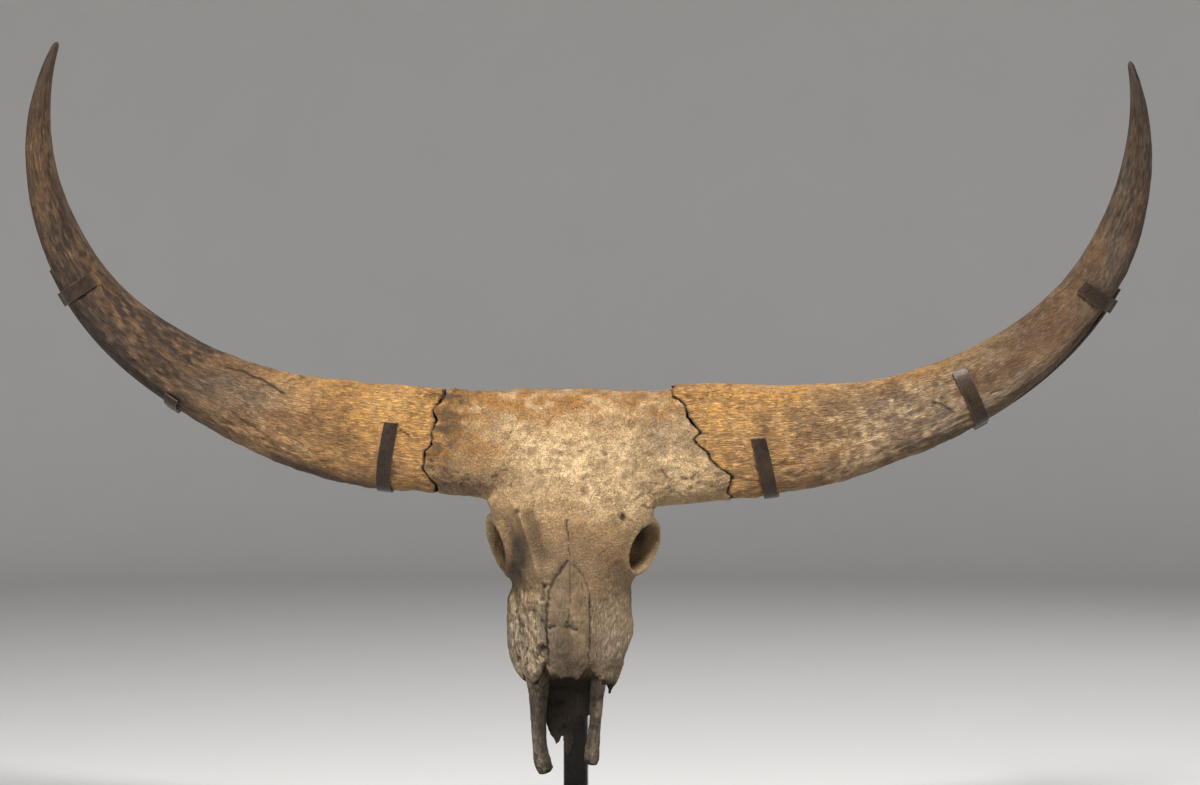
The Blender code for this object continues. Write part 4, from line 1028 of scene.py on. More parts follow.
@dataclass
class SkullBones:
    """The cranium, nasal bones and upper jaws: one regrown skin, carved as a whole and parted at its seams."""

    voxel: float = 0.0024
    overlap: float = 0.00028
    smoothing: int = 9
    nasal_apex: float = -0.270
    nasal_half: float = 0.0345
    # Each eye socket's middle and the direction that it opens to
    sockets: tuple = (
        ((0.117, 0.040, -0.254), (0.74, -0.58, -0.34)), ((-0.112, 0.048, -0.250), (-0.88, -0.38, -0.28)),
    )

    def gather(self) -> Skin:
        """Joins the CAD nodes, each swelled a little so that they overlap, and regrows their skin as even quads."""
        points, faces, start = [], [], 0
        for region in Region:
            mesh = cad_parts[region.value].data
            found = np.zeros(len(mesh.vertices) * 3, np.float32)
            mesh.vertices.foreach_get("co", found)
            found = found.reshape(-1, 3).astype(float)
            corners = np.zeros(len(mesh.loops), np.int32)
            mesh.loops.foreach_get("vertex_index", corners)
            merged, where = np.unique(np.round(found, 6), axis=0, return_inverse=True)
            threes = where.reshape(-1)[corners].reshape(-1, 3)
            out = np.cross(merged[threes[:, 1]] - merged[threes[:, 0]], merged[threes[:, 2]] - merged[threes[:, 0]])
            total = np.zeros_like(merged)
            for k in range(3):
                for corner in range(3):
                    total[:, k] += np.bincount(threes[:, corner], out[:, k], len(merged))
            total /= np.maximum(np.linalg.norm(total, axis=1, keepdims=True), 1e-12)
            points.append(merged + total * self.overlap)
            faces.append(np.concatenate([threes + start, np.full((len(threes), 1), -1)], axis=1))
            start += len(merged)
        rough = Skin(np.concatenate(points), np.concatenate(faces)).object("skull_rough", CRANIUM)
        change = rough.modifiers.new("regrow", "REMESH")
        change.mode = "VOXEL"
        change.voxel_size = self.voxel
        grown = bpy.data.meshes.new_from_object(rough.evaluated_get(bpy.context.evaluated_depsgraph_get()))
        bpy.data.objects.remove(rough)
        vertices = np.zeros(len(grown.vertices) * 3, np.float32)
        grown.vertices.foreach_get("co", vertices)
        corners = np.zeros(len(grown.loops), np.int32)
        grown.loops.foreach_get("vertex_index", corners)
        bpy.data.meshes.remove(grown)
        return Skin(vertices.reshape(-1, 3).astype(float) - POLL, corners.reshape(-1, 4))

    @staticmethod
    def edges(faces: Array) -> Array:
        """The sides of four-sided faces, each once."""
        sides = np.concatenate([faces[:, [k, (k + 1) % 4]] for k in range(4)])
        return np.unique(np.sort(sides, axis=1), axis=0)

    @staticmethod
    def largest(skin: Skin) -> Skin:
        """Keeps the largest connected surface: labels spread along the edges until none changes."""
        edges = SkullBones.edges(skin.faces)
        label = np.arange(len(skin.points))
        while True:
            low = np.minimum(label[edges[:, 0]], label[edges[:, 1]])
            fresh = label.copy()
            np.minimum.at(fresh, edges[:, 0], low)
            np.minimum.at(fresh, edges[:, 1], low)
            fresh = fresh[fresh]
            if np.array_equal(fresh, label):
                break
            label = fresh
        kept = label == np.argmax(np.bincount(label))
        number = np.cumsum(kept) - 1
        faces = skin.faces[kept[skin.faces[:, 0]]]
        return Skin(skin.points[kept], number[faces])

    def regions(self, points: Array) -> Array:
        """Tells which bone each point belongs to, by the same seams as the solids.

        Args:
            points: places from the poll.

        Returns:
            Numbers in the order of Region: the nasal bones lie within their outline and before their sloping
            back, the jaws below a seam that rises 0.45 m for each metre back, and the rest is cranium.
        """
        x, y, z = points.T
        heights = np.array((self.nasal_apex, -0.280, -0.297, -0.318, -0.352, -0.400, -0.440, -0.520))
        halves = np.array((0.0, 0.010, 0.022, self.nasal_half - 0.003, self.nasal_half, self.nasal_half, 0.0335, 0.0325))
        half = np.interp(z, heights[::-1], halves[::-1], left=0.0325, right=0.0)
        nasal = (np.abs(x) < half) & (y < 0.014 + 0.130 * (self.nasal_apex - z)) & (z < self.nasal_apex)
        lift = np.interp(
            np.abs(x), (0.0, 0.004, 0.030, 0.044, 0.060, 0.076, 0.092, 0.16),
            (0.0005, 0.0, -0.004, 0.004, -0.003, 0.004, -0.002, 0.002),
        )
        jaw = z < -0.337 + 0.45 * y + lift
        left = x > 0
        found = np.zeros(len(points), int)
        found[jaw & left] = 3
        found[jaw & ~left] = 4
        found[nasal & left] = 1
        found[nasal & ~left] = 2
        return found

    def carve(self, skin: Skin) -> Skin:
        """Smooths the skin and cuts the surface detail into it.

        Args:
            skin: the regrown skin, measured from the poll.

        Returns:
            The carved skin with its masks of colour.
        """
        edges = self.edges(skin.faces)
        points = skin.points.copy()
        x, y, z = points.T
        tooth = ramp(y, 0.128, 0.140) * ramp(-z, 0.27, 0.29) * ramp(0.095 - np.abs(x), 0.0, 0.01)
        thin = ramp(-z, 0.425, 0.46) * ramp(y, 0.085, 0.10)
        wall = sum(np.exp(-((beyond_crack(points, side) / 0.003) ** 2)) for side in Side)
        share = 0.55 * (1 - 0.75 * np.clip(tooth + thin, 0, 1)) * (1 - 0.7 * np.clip(wall, 0, 1))
        for _ in range(self.smoothing):
            points += (neighbours_mean(points, edges) - points) * share[:, None]
        normals = point_normals(points, skin.faces)
        height, masks = self.relief(points, normals, tooth)
        points = points + normals * height[:, None]
        points = self.open_cracks(points, normals)
        normals = point_normals(points, skin.faces)
        # Painted shade in the concave places, by how far each point sits below its neighbours; the convex places are
        # made paler as wear.
        hollow = np.sum((neighbours_mean(points, edges) - points) * normals, axis=1) / 0.00030
        hollow = neighbours_mean(np.clip(hollow, -1, 1), edges)
        masks["cavity"] = np.clip(masks["cavity"] + 0.50 * ramp(hollow, 0.18, 1.0), 0, 1)
        masks["cream"] = np.clip(masks["cream"] + 0.18 * ramp(-hollow, 0.2, 1.0), 0, 1)
        masks["grain"] = np.stack([points[:, 2], points[:, 0], points[:, 1]], axis=1)
        return Skin(points, skin.faces, masks, normals)

    def open_cracks(self, points: Array, normals: Array) -> Array:
        """Draws the cranium's broken faces back from the horns, unevenly, and rounds their rims."""
        for side in Side:
            out = beyond_crack(points, side)
            outer = points[:, 0] * side.value > 0.12
            shift = (jag(points) - notch(points, side)) * np.exp(-((out / 0.009) ** 2)) * outer
            near = np.exp(-((out / 0.0022) ** 2)) * outer
            points = points.copy()
            points[:, 0] += side.value * (shift - 0.0010 * near)
            points -= normals * (near * 0.0005)[:, None]
        return points

    def relief(self, points: Array, normals: Array, tooth: Array) -> tuple[Array, dict[str, Array]]:
        """Works out the skull's surface detail.

        Args:
            points: the smooth skin's points from the poll.
            normals: the directions out of it.
            tooth: how far each point is a cheek tooth's, from 0 to 1.

        Returns:
            Metres outward, and the masks of colour. Low lumps and fine grain lie all over; seams, holes, ridges
            and erosion lie where the photograph shows them, on what faces forward.
        """
        places = PHOTO.places(points)
        across, down = places.T
        front = ramp(-normals[:, 1], 0.05, 0.45) * ramp(0.085 - points[:, 1], 0.0, 0.02)
        beam = ramp(points[:, 2], -0.235, -0.13)
        crusty = 0.35 + 0.65 * beam
        bent = points + 0.004 * np.stack([noise(points, 0.02, 58 + k) for k in range(3)], axis=1)
        crust = cloud(bent, 0.024, 61, 4)
        knobs = 1 - np.abs(cloud(bent, 0.013, 62, 3)) * 2
        grain = cloud(bent, (0.0052, 0.0052, 0.0085), 63, 2)
        height = 0.0022 * crusty * crust + 0.0011 * crusty * knobs + 0.00035 * grain
        height = height + 0.0016 * cloud(points, 0.075, 60, 2)
        pores = ramp(noise(bent, 0.0062, 64), 0.55, 0.90) * ramp(noise(points, 0.035, 65), 0.0, 0.6)
        height = height - 0.0009 * pores
        # Painted shade in the pores, between the knobs and in the low crust.
        cavity = 0.35 * pores + 0.10 * ramp(-knobs, -0.15, 0.5) * crusty + 0.12 * ramp(-crust, 0.25, 0.8)
        seams = np.zeros(len(points))
        for line, width, depth in (
            (((566, 518), (567, 530), (569, 541), (568, 549), (570, 558)), 1.4, 0.0019),
            (((570, 557), (565, 566), (556, 577), (549, 590), (547, 606), (546, 630), (547, 652), (549, 674)), 2.0, 0.0040),
            (((545, 602), (543, 625), (544, 650), (546, 668)), 3.6, 0.0030),
            (((570, 557), (576, 567), (584, 578), (589, 592), (590, 612), (590, 640), (588, 668)), 1.4, 0.0017),
            (((570, 560), (569, 580), (570, 600), (568, 622), (569, 645), (567, 678)), 1.1, 0.0013),
            (((545, 583), (543, 592), (544, 602)), 3.4, 0.0055),
            (((548, 628), (552, 627), (556, 626)), 2.4, 0.0038),
            (((564, 628), (569, 627), (573, 629), (579, 630)), 2.0, 0.0032),
            (((566, 621), (567, 624)), 1.8, 0.0016),
            (((600, 545), (606, 556), (609, 568), (609, 582)), 1.8, 0.0009),
            (((515, 585), (522, 597), (530, 602), (541, 603)), 1.8, 0.0007),
            (((597, 604), (606, 600), (616, 597), (628, 590)), 1.3, 0.0006),
            (((530, 470), (534, 482), (531, 495)), 1.0, 0.0006),
            (((640, 505), (652, 509), (664, 507)), 1.4, 0.0010),
        ):
            wiggle = places + 1.1 * np.stack([noise(points, 0.006, 71), noise(points, 0.006, 72)], axis=1)
            cut = groove(wiggle, line, width, 0.06)
            height = height - depth * cut * front
            seams = np.maximum(seams, cut * front * min(1.0, depth / 0.0014, 2.2 / width))
        holes = patch(places, (518, 511), (3.2, 4.2)) + patch(places, (623, 518), (3.2, 4.0))
        height = height - 0.0045 * holes * front
        ridge = groove(places, ((508, 496), (518, 510), (524, 523), (531, 545), (537, 566), (541, 584)), 3.6, 0.2)
        valley = groove(places, ((526, 503), (533, 525), (541, 550), (547, 570)), 7.0, 0.2)
        lower = groove(places, ((500, 508), (508, 528), (518, 556), (527, 580)), 6.5, 0.2)
        height = height + front * (0.0088 * ridge - 0.0062 * valley - 0.0048 * lower)
        nasals = groove(places, ((559, 585), (557, 625), (558, 670)), 7.0) + groove(places, ((580, 585), (580, 670)), 6.5)
        height = height + 0.0018 * nasals * front
        cheek = ramp(-normals[:, 0], 0.15, 0.65) * ramp(-points[:, 2], 0.315, 0.345) * ramp(points[:, 2], -0.50, -0.455)
        height = height + 0.0048 * cheek * ramp(0.11 - points[:, 1], 0.0, 0.03)
        height = height + 0.0075 * patch(places, (493, 501), (8, 9)) * ramp(0.09 - points[:, 1], 0.0, 0.03)
        eroded = ramp(patch(places, (521, 640), (28, 58)), 0.22, 0.62) * front
        fibres = cloud(bent, (0.0062, 0.0062, 0.034), 81, 3)
        ragged = cloud(bent, (0.012, 0.012, 0.020), 82, 4)
        strips = 1 - ramp(np.abs(cloud(bent, (0.0095, 0.0095, 0.050), 84, 3)), 0.0, 0.34)
        height = height + eroded * (0.0015 * fibres + 0.0022 * ragged - 0.0026 * strips)
        brow = ramp(patch(places, (470, 480), (48, 26)), 0.25, 0.8) * front
        slant = np.stack([points[:, 0] + points[:, 2], points[:, 0] - points[:, 2], points[:, 1]], axis=1)
        height = height + brow * 0.0014 * cloud(slant, (0.0060, 0.040, 0.02), 83, 3)
        nose = ramp(down, 672, 690) * ramp(points[:, 1], 0.03, 0.06) * (1 - ramp(np.abs(across - 568), 40, 60))
        lumpy = cloud(points, 0.017, 85, 4)
        height = height + 0.0034 * nose * lumpy
        height = height * (1 - 0.8 * tooth)
        crack = np.zeros(len(points))
        for side in Side:
            out = beyond_crack(points, side)
            crack = np.maximum(crack, np.exp(-((out / 0.0026) ** 2)) * (points[:, 0] * side.value > 0.12))
        blotch = cloud(points, 0.06, 91, 4)
        masks = self.colours(places, points, front, blotch)
        hollow = 1.0 * valley + 0.45 * lower
        # Painted shade in the pores, seams, holes, breaks at the horns and eroded strips.
        masks["cavity"] = cavity + seams + holes * front + 0.9 * crack + eroded * 0.50 * strips
        masks["dark"] = masks["dark"] * (1 - 0.7 * eroded) + 0.24 * eroded * ramp(-ragged, 0.0, 0.6)
        # Painted shade deep in the nose opening and in the valleys beside the brow ridge.
        masks["dark"] = masks["dark"] + nose * (0.93 - 0.14 * ramp(lumpy, 0.0, 0.5)) + 0.28 * hollow * front
        # Painted shade inside the eye sockets, heaviest in their upper part, and painted highlight on their rims, which
        # also lose some darkening.
        inside, rim = self.in_sockets(points)
        masks["dark"] = masks["dark"] * (1 - 0.6 * rim) + inside
        # Painted highlight along the brow ridge's crest and on the socket rims; the paler eroded fibres are the bone's
        # own.
        masks["cream"] = masks["cream"] + 0.36 * eroded * ramp(fibres, -0.3, 0.5) + 0.45 * ridge * front + 0.4 * rim
        masks["ochre"] = masks["ochre"] + 0.8 * patch(places, (540, 701), (5, 8)) * ramp(points[:, 1], 0.02, 0.05)
        masks["cream"] = masks["cream"] + 0.35 * tooth
        return height, {word: np.clip(values, 0, 1) for word, values in masks.items()}

    def in_sockets(self, points: Array) -> tuple[Array, Array]:
        """Works out the painted shade inside the eye sockets and the painted highlight on their rims.

        Args:
            points: places from the poll.

        Returns:
            How much painted shade each point gets inside a socket, most in its upper part, and how near it is to a rim,
            which gets a painted highlight.
        """
        inside, rim = np.zeros((2, len(points)))
        for middle, facing in self.sockets:
            out = unit(np.array(facing))
            away = points - np.array(middle)
            depth = -(away @ out)
            across = np.linalg.norm(away + depth[:, None] * out, axis=1)
            deep = ramp(depth, 0.004, 0.034) * (1 - ramp(across, 0.036, 0.044)) * (1 - ramp(depth, 0.055, 0.062))
            toward = away[:, 2] * 0.8 + away[:, 0] * math.copysign(0.6, middle[0])
            inside += deep * (0.08 + 0.85 * ramp(toward, -0.024, 0.014))
            rim += np.exp(-((depth / 0.006) ** 2) - ((across - 0.038) / 0.008) ** 2)
        return inside, rim

    @staticmethod
    def colours(places: Array, points: Array, front: Array, blotch: Array) -> dict[str, Array]:
        """The zones of colour: ochre on the poll, cream on the forehead, browner and darker down the face, that
        darkening partly painted shade, and painted shade under the right horn's root and beside the brow ridge.
        """
        down = places[:, 1]
        fine = cloud(points, 0.020, 93, 4)
        mottled = cloud(points, (0.015, 0.015, 0.011), 96, 4)
        top = 1 - ramp(down, 402, 452)
        lower = ramp(down, 470, 640)
        back = 1 - front
        wander = places + 14 * np.stack([cloud(points, 0.05, 94, 3), cloud(points, 0.05, 95, 3)], axis=1)
        ochre = 1.45 * patch(wander, (572, 392), (115, 22)) + 1.25 * patch(wander, (456, 420), (38, 46))
        ochre = ochre + 0.30 * patch(wander, (640, 402), (60, 20)) + 0.35 * patch(wander, (600, 425), (48, 20))
        ochre = ochre + 0.45 * patch(places, (514, 565), (20, 40)) + 0.30 * patch(wander, (610, 560), (28, 44))
        ochre = ochre + 0.30 * patch(wander, (690, 420), (30, 40)) + 0.22 * patch(wander, (560, 530), (60, 30))
        ochre = ochre + 0.45 * back * ramp(blotch, -0.2, 0.6) * ramp(points[:, 2], -0.35, -0.02)
        cream = 1.15 * patch(wander, (565, 455), (58, 34)) + 0.50 * patch(wander, (632, 445), (38, 34))
        cream = cream + 0.45 * patch(wander, (505, 425), (34, 24)) + 0.35 * patch(wander, (615, 640), (14, 40))
        cream = cream + 0.75 * patch(wander, (612, 500), (34, 18)) + 0.75 * patch(wander, (690, 470), (40, 24))
        cream = cream + 0.20 * patch(wander, (581, 620), (9, 52)) + 0.20 * patch(wander, (604, 600), (16, 50))
        grey = 0.75 * patch(wander, (676, 428), (28, 34)) + 0.50 * patch(wander, (520, 640), (30, 55))
        grey = grey + 0.35 * back * ramp(-blotch, -0.1, 0.5) + 0.25 * lower
        # Partly painted shade: under the right horn's root and in the valley beside the brow ridge.
        dark = 0.72 * patch(wander, (464, 482), (44, 17)) + 0.78 * patch(places, (516, 562), (15, 40))
        dark = dark + 0.75 * patch(wander, (452, 427), (25, 36)) * ramp(-mottled, -0.6, 0.2)
        right = ramp(places[:, 0], 574, 606)
        # Darker down the face, by this ramp and the one below: partly the bones' own tone, partly painted shade where
        # the light falls off downward.
        dark = dark + 0.42 * ramp(down, 500, 560) * (1 - 0.30 * right)
        dark = dark + 0.16 * patch(places, (605, 555), (28, 34))
        dark = dark + 0.36 * patch(places, (568, 662), (22, 36)) + 0.10 * ramp(down, 620, 700) + 0.22 * patch(wander, (660, 450), (40, 40))
        for speck in ((664, 479), (646, 493), (706, 478), (636, 507), (446, 451), (655, 470), (684, 490), (720, 468)):
            dark = dark + 0.6 * patch(wander, speck, (2.6, 2.2)) * front
        return {
            "ochre": ochre * (1 + 0.4 * blotch) * (1 - 0.75 * top * ramp(mottled, -0.05, 0.5)),
            "cream": cream * (1 + 0.4 * blotch + 0.30 * fine) + 0.35 * top * ramp(mottled, 0.15, 0.6),
            "grey": grey * (1 + 0.5 * blotch + 0.3 * fine),
            "dark": dark * (1 + 0.3 * blotch) + 0.12 * ramp(-fine - 0.3 * blotch, 0.15, 0.7)
            + 0.34 * top * ramp(-mottled, 0.10, 0.55),
        }

    def build(self) -> list[bpy.types.Object]:
        """Makes the five bones: the carved skin is parted between faces, and each part keeps the whole's shading."""
        skin = self.carve(self.largest(self.gather()))
        owner = self.regions(skin.points[skin.faces].mean(axis=1))
        made = []
        for number, region in enumerate(Region):
            faces = skin.faces[owner == number]
            used, fresh = np.unique(faces, return_inverse=True)
            masks = {word: values[used] for word, values in skin.masks.items()}
            part = Skin(skin.points[used] + POLL, fresh.reshape(-1, 4), masks, skin.corners[used])
            finish = REGION_FINISH[region]
            made.append(dressed(part.object(f"{region.value}_fossil", finish), finish, region.value))
        return made


# The snout

@dataclass(frozen=True)
class Premaxilla:
    """One thin bone beside the nose opening, flattened and worn at its end: an oval carried along a bent line."""

    side: Side
    line: Line
    radii: Line
    columns: int = 72
    steps: int = 34

    def build(self) -> bpy.types.Object:
        """Makes the bone, with long furrows, a worn surface, a porous broken end, and painted shade on its inner face
        and in its furrows and pores.
        """
        rows = through(np.hstack([self.line, self.radii]), self.steps)
        middle, across, deep = rows[:, :3], rows[:, 3], rows[:, 4]
        along = unit(np.gradient(middle, axis=0))
        front = unit(np.array((0.0, -1.0, 0.0)) - along * (along @ np.array((0.0, -1.0, 0.0)))[:, None])
        wide = np.cross(along, front)
        angle = np.arange(self.columns) * 2 * math.pi / self.columns
        share = np.linspace(0, 1, len(rows))
        close = np.sqrt(np.clip(1 - np.clip((share - 0.955) / 0.045, 0, 1) ** 2, 0, 1))
        close = close * np.sqrt(np.clip(1 - np.clip((0.03 - share) / 0.03, 0, 1) ** 2, 0, 1))
        out = np.cos(angle)[None, :, None] * (wide * across[:, None])[:, None]
        out = out + np.sin(angle)[None, :, None] * (front * deep[:, None])[:, None]
        plain = middle[:, None] + out * close[:, None, None]
        normals = unit(out + 1e-9)
        flat = plain.reshape(-1, 3)
        length = np.broadcast_to(share[:, None] * 0.24, plain.shape[:2]).reshape(-1)
        ring = np.stack([length, np.tile(np.cos(angle), len(rows)) * 0.012, np.tile(np.sin(angle), len(rows)) * 0.012], 1)
        seed = 101 if self.side is Side.LEFT else 131
        furrow = 1 - ramp(np.abs(cloud(ring, (0.05, 0.006, 0.006), seed, 3)), 0.0, 0.3)
        ragged = cloud(flat, 0.012, seed + 1, 4)
        end = np.broadcast_to(ramp(share, 0.78, 1.0)[:, None], plain.shape[:2]).reshape(-1)
        pores = ramp(noise(flat, 0.0035, seed + 2), 0.3, 0.7) * (0.3 + 0.7 * end)
        inner = ramp(-self.side.value * normals[..., 0].reshape(-1), -0.45, 0.55)
        height = 0.0011 * ragged * (0.6 + end) - 0.0009 * furrow - 0.0008 * pores
        height = height.reshape(plain.shape[:2]) * close[:, None]
        points = plain + normals * height[..., None]
        total = points.shape[0] * points.shape[1]
        vertices = np.concatenate([points.reshape(-1, 3), [points[0].mean(axis=0), points[-1].mean(axis=0)]]) + POLL
        masks = {
            "ochre": np.clip(0.20 + 0.3 * ragged, 0, 1) * (1 - end),
            "cream": np.clip(0.45 + 0.5 * ragged, 0, 1) * (1 - end) ** 2,
            "grey": np.clip(0.4 - 0.3 * ragged, 0, 1),
            # Painted shade on the inner face, towards the nose opening.
            "dark": np.clip(0.25 * end + 0.15 * ramp(-ragged, 0.1, 0.6) + 0.55 * inner, 0, 1),
            "cavity": np.clip(0.5 * furrow + 0.6 * pores, 0, 1),
        }
        packed = {word: np.concatenate([values, [0.3, 0.3]]) for word, values in masks.items()}
        packed["grain"] = np.concatenate([ring, ring[:1], ring[-1:]])
        faces = tube_faces(points.shape[0], points.shape[1], total, total + 1)
        name = f"premaxilla_{self.side.word}"
        piece = Skin(vertices, faces, packed).outward().object(f"{name}_fossil", PREMAXILLA)
        return dressed(piece, PREMAXILLA, name)


SNOUT = (
    Premaxilla(
        Side.LEFT,
        (
            (0.050, 0.052, -0.440), (0.0465, 0.074, -0.470), (0.0425, 0.090, -0.500), (0.0395, 0.100, -0.541),
            (0.0355, 0.106, -0.574), (0.0330, 0.109, -0.602), (0.031, 0.110, -0.616),
        ),
        (
            (0.010, 0.010), (0.0125, 0.012), (0.0115, 0.010), (0.0098, 0.008), (0.0108, 0.008),
            (0.0125, 0.0078), (0.0098, 0.0065),
        ),
    ),
    Premaxilla(
        Side.RIGHT,
        (
            (-0.062, 0.052, -0.440), (-0.0550, 0.074, -0.470), (-0.0533, 0.088, -0.495), (-0.0537, 0.098, -0.541),
            (-0.0520, 0.106, -0.585), (-0.0480, 0.109, -0.610), (-0.0400, 0.111, -0.630),
        ),
        (
            (0.012, 0.010), (0.0180, 0.012), (0.0165, 0.011), (0.0130, 0.009), (0.0122, 0.0085),
            (0.0145, 0.008), (0.0118, 0.0062),
        ),
    ),
)


# The mount

def flat_bar(line: Array, normals: Array, widths: Array, size: Sequence[float], edge: float) -> Skin:
    """Carries a rounded bar along a line.

    Args:
        line: the middle of the bar.
        normals: directions through its thickness.
        widths: directions across it.
        size: its width and thickness.
        edge: the radius of its edges.

    Returns:
        The bar's skin: the rounded outline stands at each point of the line, and both ends are drawn in over
        two rings and closed. Its mask tells how near a point is to an edge.
    """
    normals = unit(normals)
    widths = unit(widths - normals * np.sum(widths * normals, axis=1, keepdims=True))
    along = unit(np.gradient(line, axis=0))
    outline = rounded_box(*size, edge)
    order = np.array((0, 0, *range(len(line)), len(line) - 1, len(line) - 1))
    ahead, inset = np.zeros((2, len(order), 1))
    ahead[:3, 0] = (0, 0.3 * edge, edge)
    ahead[-3:, 0] = (-edge, -0.3 * edge, 0)
    inset[:3, 0] = (edge, 0.3 * edge, 0)
    inset[-3:, 0] = (0, 0.3 * edge, edge)
    section = outline[None] * (1 - 2 * inset / np.array(size))[:, None]
    grid = (line[order] + along[order] * ahead)[:, None]
    grid = grid + section[..., :1] * widths[order][:, None] + section[..., 1:] * normals[order][:, None]
    mark = np.tile(np.array((0.25, 1, 1, 1, 1, 1, 0.25) * 4), (len(order), 1))
    mark[[0, -1]] = 0.35
    mark[[1, -2]] = 1.0
    total = grid.shape[0] * grid.shape[1]
    vertices = np.concatenate([grid.reshape(-1, 3), [line[0], line[-1]]])
    return Skin(vertices, tube_faces(*grid.shape[:2], total, total + 1), {"edge": np.append(mark, (0.1, 0.1))})


@dataclass
class Mount:
    """The steel mount: a base plate, a square post, two arms under the horns, six straps and a rest."""

    post_side: float = 0.040
    post_depth: float = 0.247
    post_top: float = -0.070
    base: tuple[float, float, float] = (0.56, 0.44, 0.012)
    gap: float = 0.0003
    bar: tuple[float, float] = (0.028, 0.005)
    arm_turn: float = 212.0
    arm_lift: float = 0.0018
    arm_height: float = -0.112
    arm_end: float = 0.715
    strap: tuple[float, float] = (0.024, 0.0035)
    strap_lift: float = 0.0014
    rest_height: float = -0.345
    # Where each strap stands along its horn, the turn where it ends, and how far it leans to the root
    clips: dict[Side, dict[str, tuple[float, float, float]]] = field(
        default_factory=lambda: {
            Side.LEFT: {"inner": (0.0925, 87, 0.0295), "middle": (0.427, 57, 0.0), "outer": (0.688, 70, 0.0)},
            Side.RIGHT: {"inner": (0.076, 73, 0.016), "middle": (0.438, 135, 0.0), "outer": (0.668, 64, 0.0)},
        }
    )

    def finish(self, name: str, skin: Skin, steel: Steel) -> bpy.types.Object:
        """Makes a piece of the mount and sets it in place of its node."""
        return dressed(skin.outward().object(f"{name}_steel", steel), steel, name)

    def build_arm(self, side: Side) -> bpy.types.Object:
        """An arm: a flat bar that follows its horn from behind and below, then runs in and turns flat on the post."""
        horn = HORNS[side]
        rise = self.arm_lift + self.bar[1] / 2
        s = np.array((*np.linspace(self.arm_end, 0.02, 17), -0.018))
        turn = np.array((*[self.arm_turn] * 17, self.arm_turn + 8))
        off = np.array((*[rise] * 17, rise + 0.010))
        point, outward, onward, _ = horn.skin(s, turn)
        line = list(point + outward * off[:, None])
        normals, widths = list(outward), list(onward)
        face = self.post_depth - self.post_side / 2 - self.gap - self.bar[1] / 2
        back, upright = np.array((0, 1, 0)), np.array((0, 0, 1))
        for x, y, z, share in (
            (0.155, 0.188, -0.126, 0.85), (0.100, 0.216, self.arm_height, 1.0), (0.045, face, self.arm_height, 1.0),
            (0.024, face, self.arm_height, 1.0), (self.gap / 2, face, self.arm_height, 1.0),
        ):
            line.append(np.array((side.value * x, y, z)))
            normals.append(outward[-1] * (1 - share) + back * share)
            widths.append(onward[-1] * (1 - share) + upright * share)
        rows = through(np.hstack([line, normals, widths]), 10)
        skin = flat_bar(rows[:, :3] + POLL, rows[:, 3:6], rows[:, 6:], self.bar, 0.0009)
        return self.finish(f"stand_arm_{side.word}", skin, DARK_STEEL)

    def build_clip(self, side: Side, word: str) -> bpy.types.Object:
        """A strap: it is fixed under the arm, rounds its lower edge and hooks over the front of the horn."""
        place, end, lean = self.clips[side][word]
        horn = HORNS[side]
        high = float(read_table(horn.half_widths, np.array(place / horn.length)))
        point, outward, onward, lengthwise = horn.skin(np.array(place), np.array(self.arm_turn))
        under = self.arm_lift + self.bar[1] + self.gap + self.strap[1] / 2
        line = [point + onward * t + outward * under for t in (0.011, -0.002, -self.bar[0] / 2 - 0.003)]
        widths = [lengthwise] * 3
        first = self.arm_turn - math.degrees(0.027 / high)
        turn = np.linspace(first, end, max(3, round((first - end) / 11)))
        inward = lean * (first - turn) / (first - end)
        point, outward, _, lengthwise = horn.skin(place - inward, turn)
        line += list(point + outward * (self.strap_lift + self.strap[1] / 2))
        widths += list(lengthwise)
        rows = through(np.hstack([line, widths]), 8)
        normals = np.cross(np.gradient(rows[:, :3], axis=0), rows[:, 3:])
        skin = flat_bar(rows[:, :3] + POLL, normals, rows[:, 3:], self.strap, 0.0007)
        return self.finish(f"stand_clip_{side.word}_{word}", skin, STRAP_STEEL)

    def build_post(self) -> bpy.types.Object:
        """The post: a square tube with rounded corners and a closed top."""
        low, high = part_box("stand_post")
        line = np.linspace((0, POLL[1] + self.post_depth, low.z), (0, POLL[1] + self.post_depth, high.z), 40)
        normals = np.tile((0.0, 1.0, 0.0), (40, 1))
        widths = np.tile((1.0, 0.0, 0.0), (40, 1))
        skin = flat_bar(line, normals, widths, (self.post_side, self.post_side), 0.0022)
        return self.finish("stand_post", skin, DARK_STEEL)

    def build_base(self) -> bpy.types.Object:
        """The base plate, with its upper and lower edges rounded."""
        wide, deep, thick = self.base
        edge = 0.0016
        rings = []
        for inset, z in ((0.03, 0.0), (edge, 0.0), (edge * 0.3, edge * 0.3), (0, edge), (0, thick - edge),
                         (edge * 0.3, thick - edge * 0.3), (edge, thick), (0.03, thick)):
            outline = rounded_box(wide - 2 * inset, deep - 2 * inset, 0.006)
            rings.append(np.concatenate([outline, np.full((len(outline), 1), z)], axis=1))
        grid = np.array(rings)
        total = grid.shape[0] * grid.shape[1]
        vertices = np.concatenate([grid.reshape(-1, 3), [(0, 0, 0), (0, 0, thick)]])
        marks = np.repeat((0, 0.3, 1, 0.6, 0.6, 1, 0.4, 0), grid.shape[1])
        skin = Skin(vertices, tube_faces(*grid.shape[:2], total, total + 1), {"edge": np.append(marks, (0, 0))})
        return self.finish("stand_base", skin, DARK_STEEL)

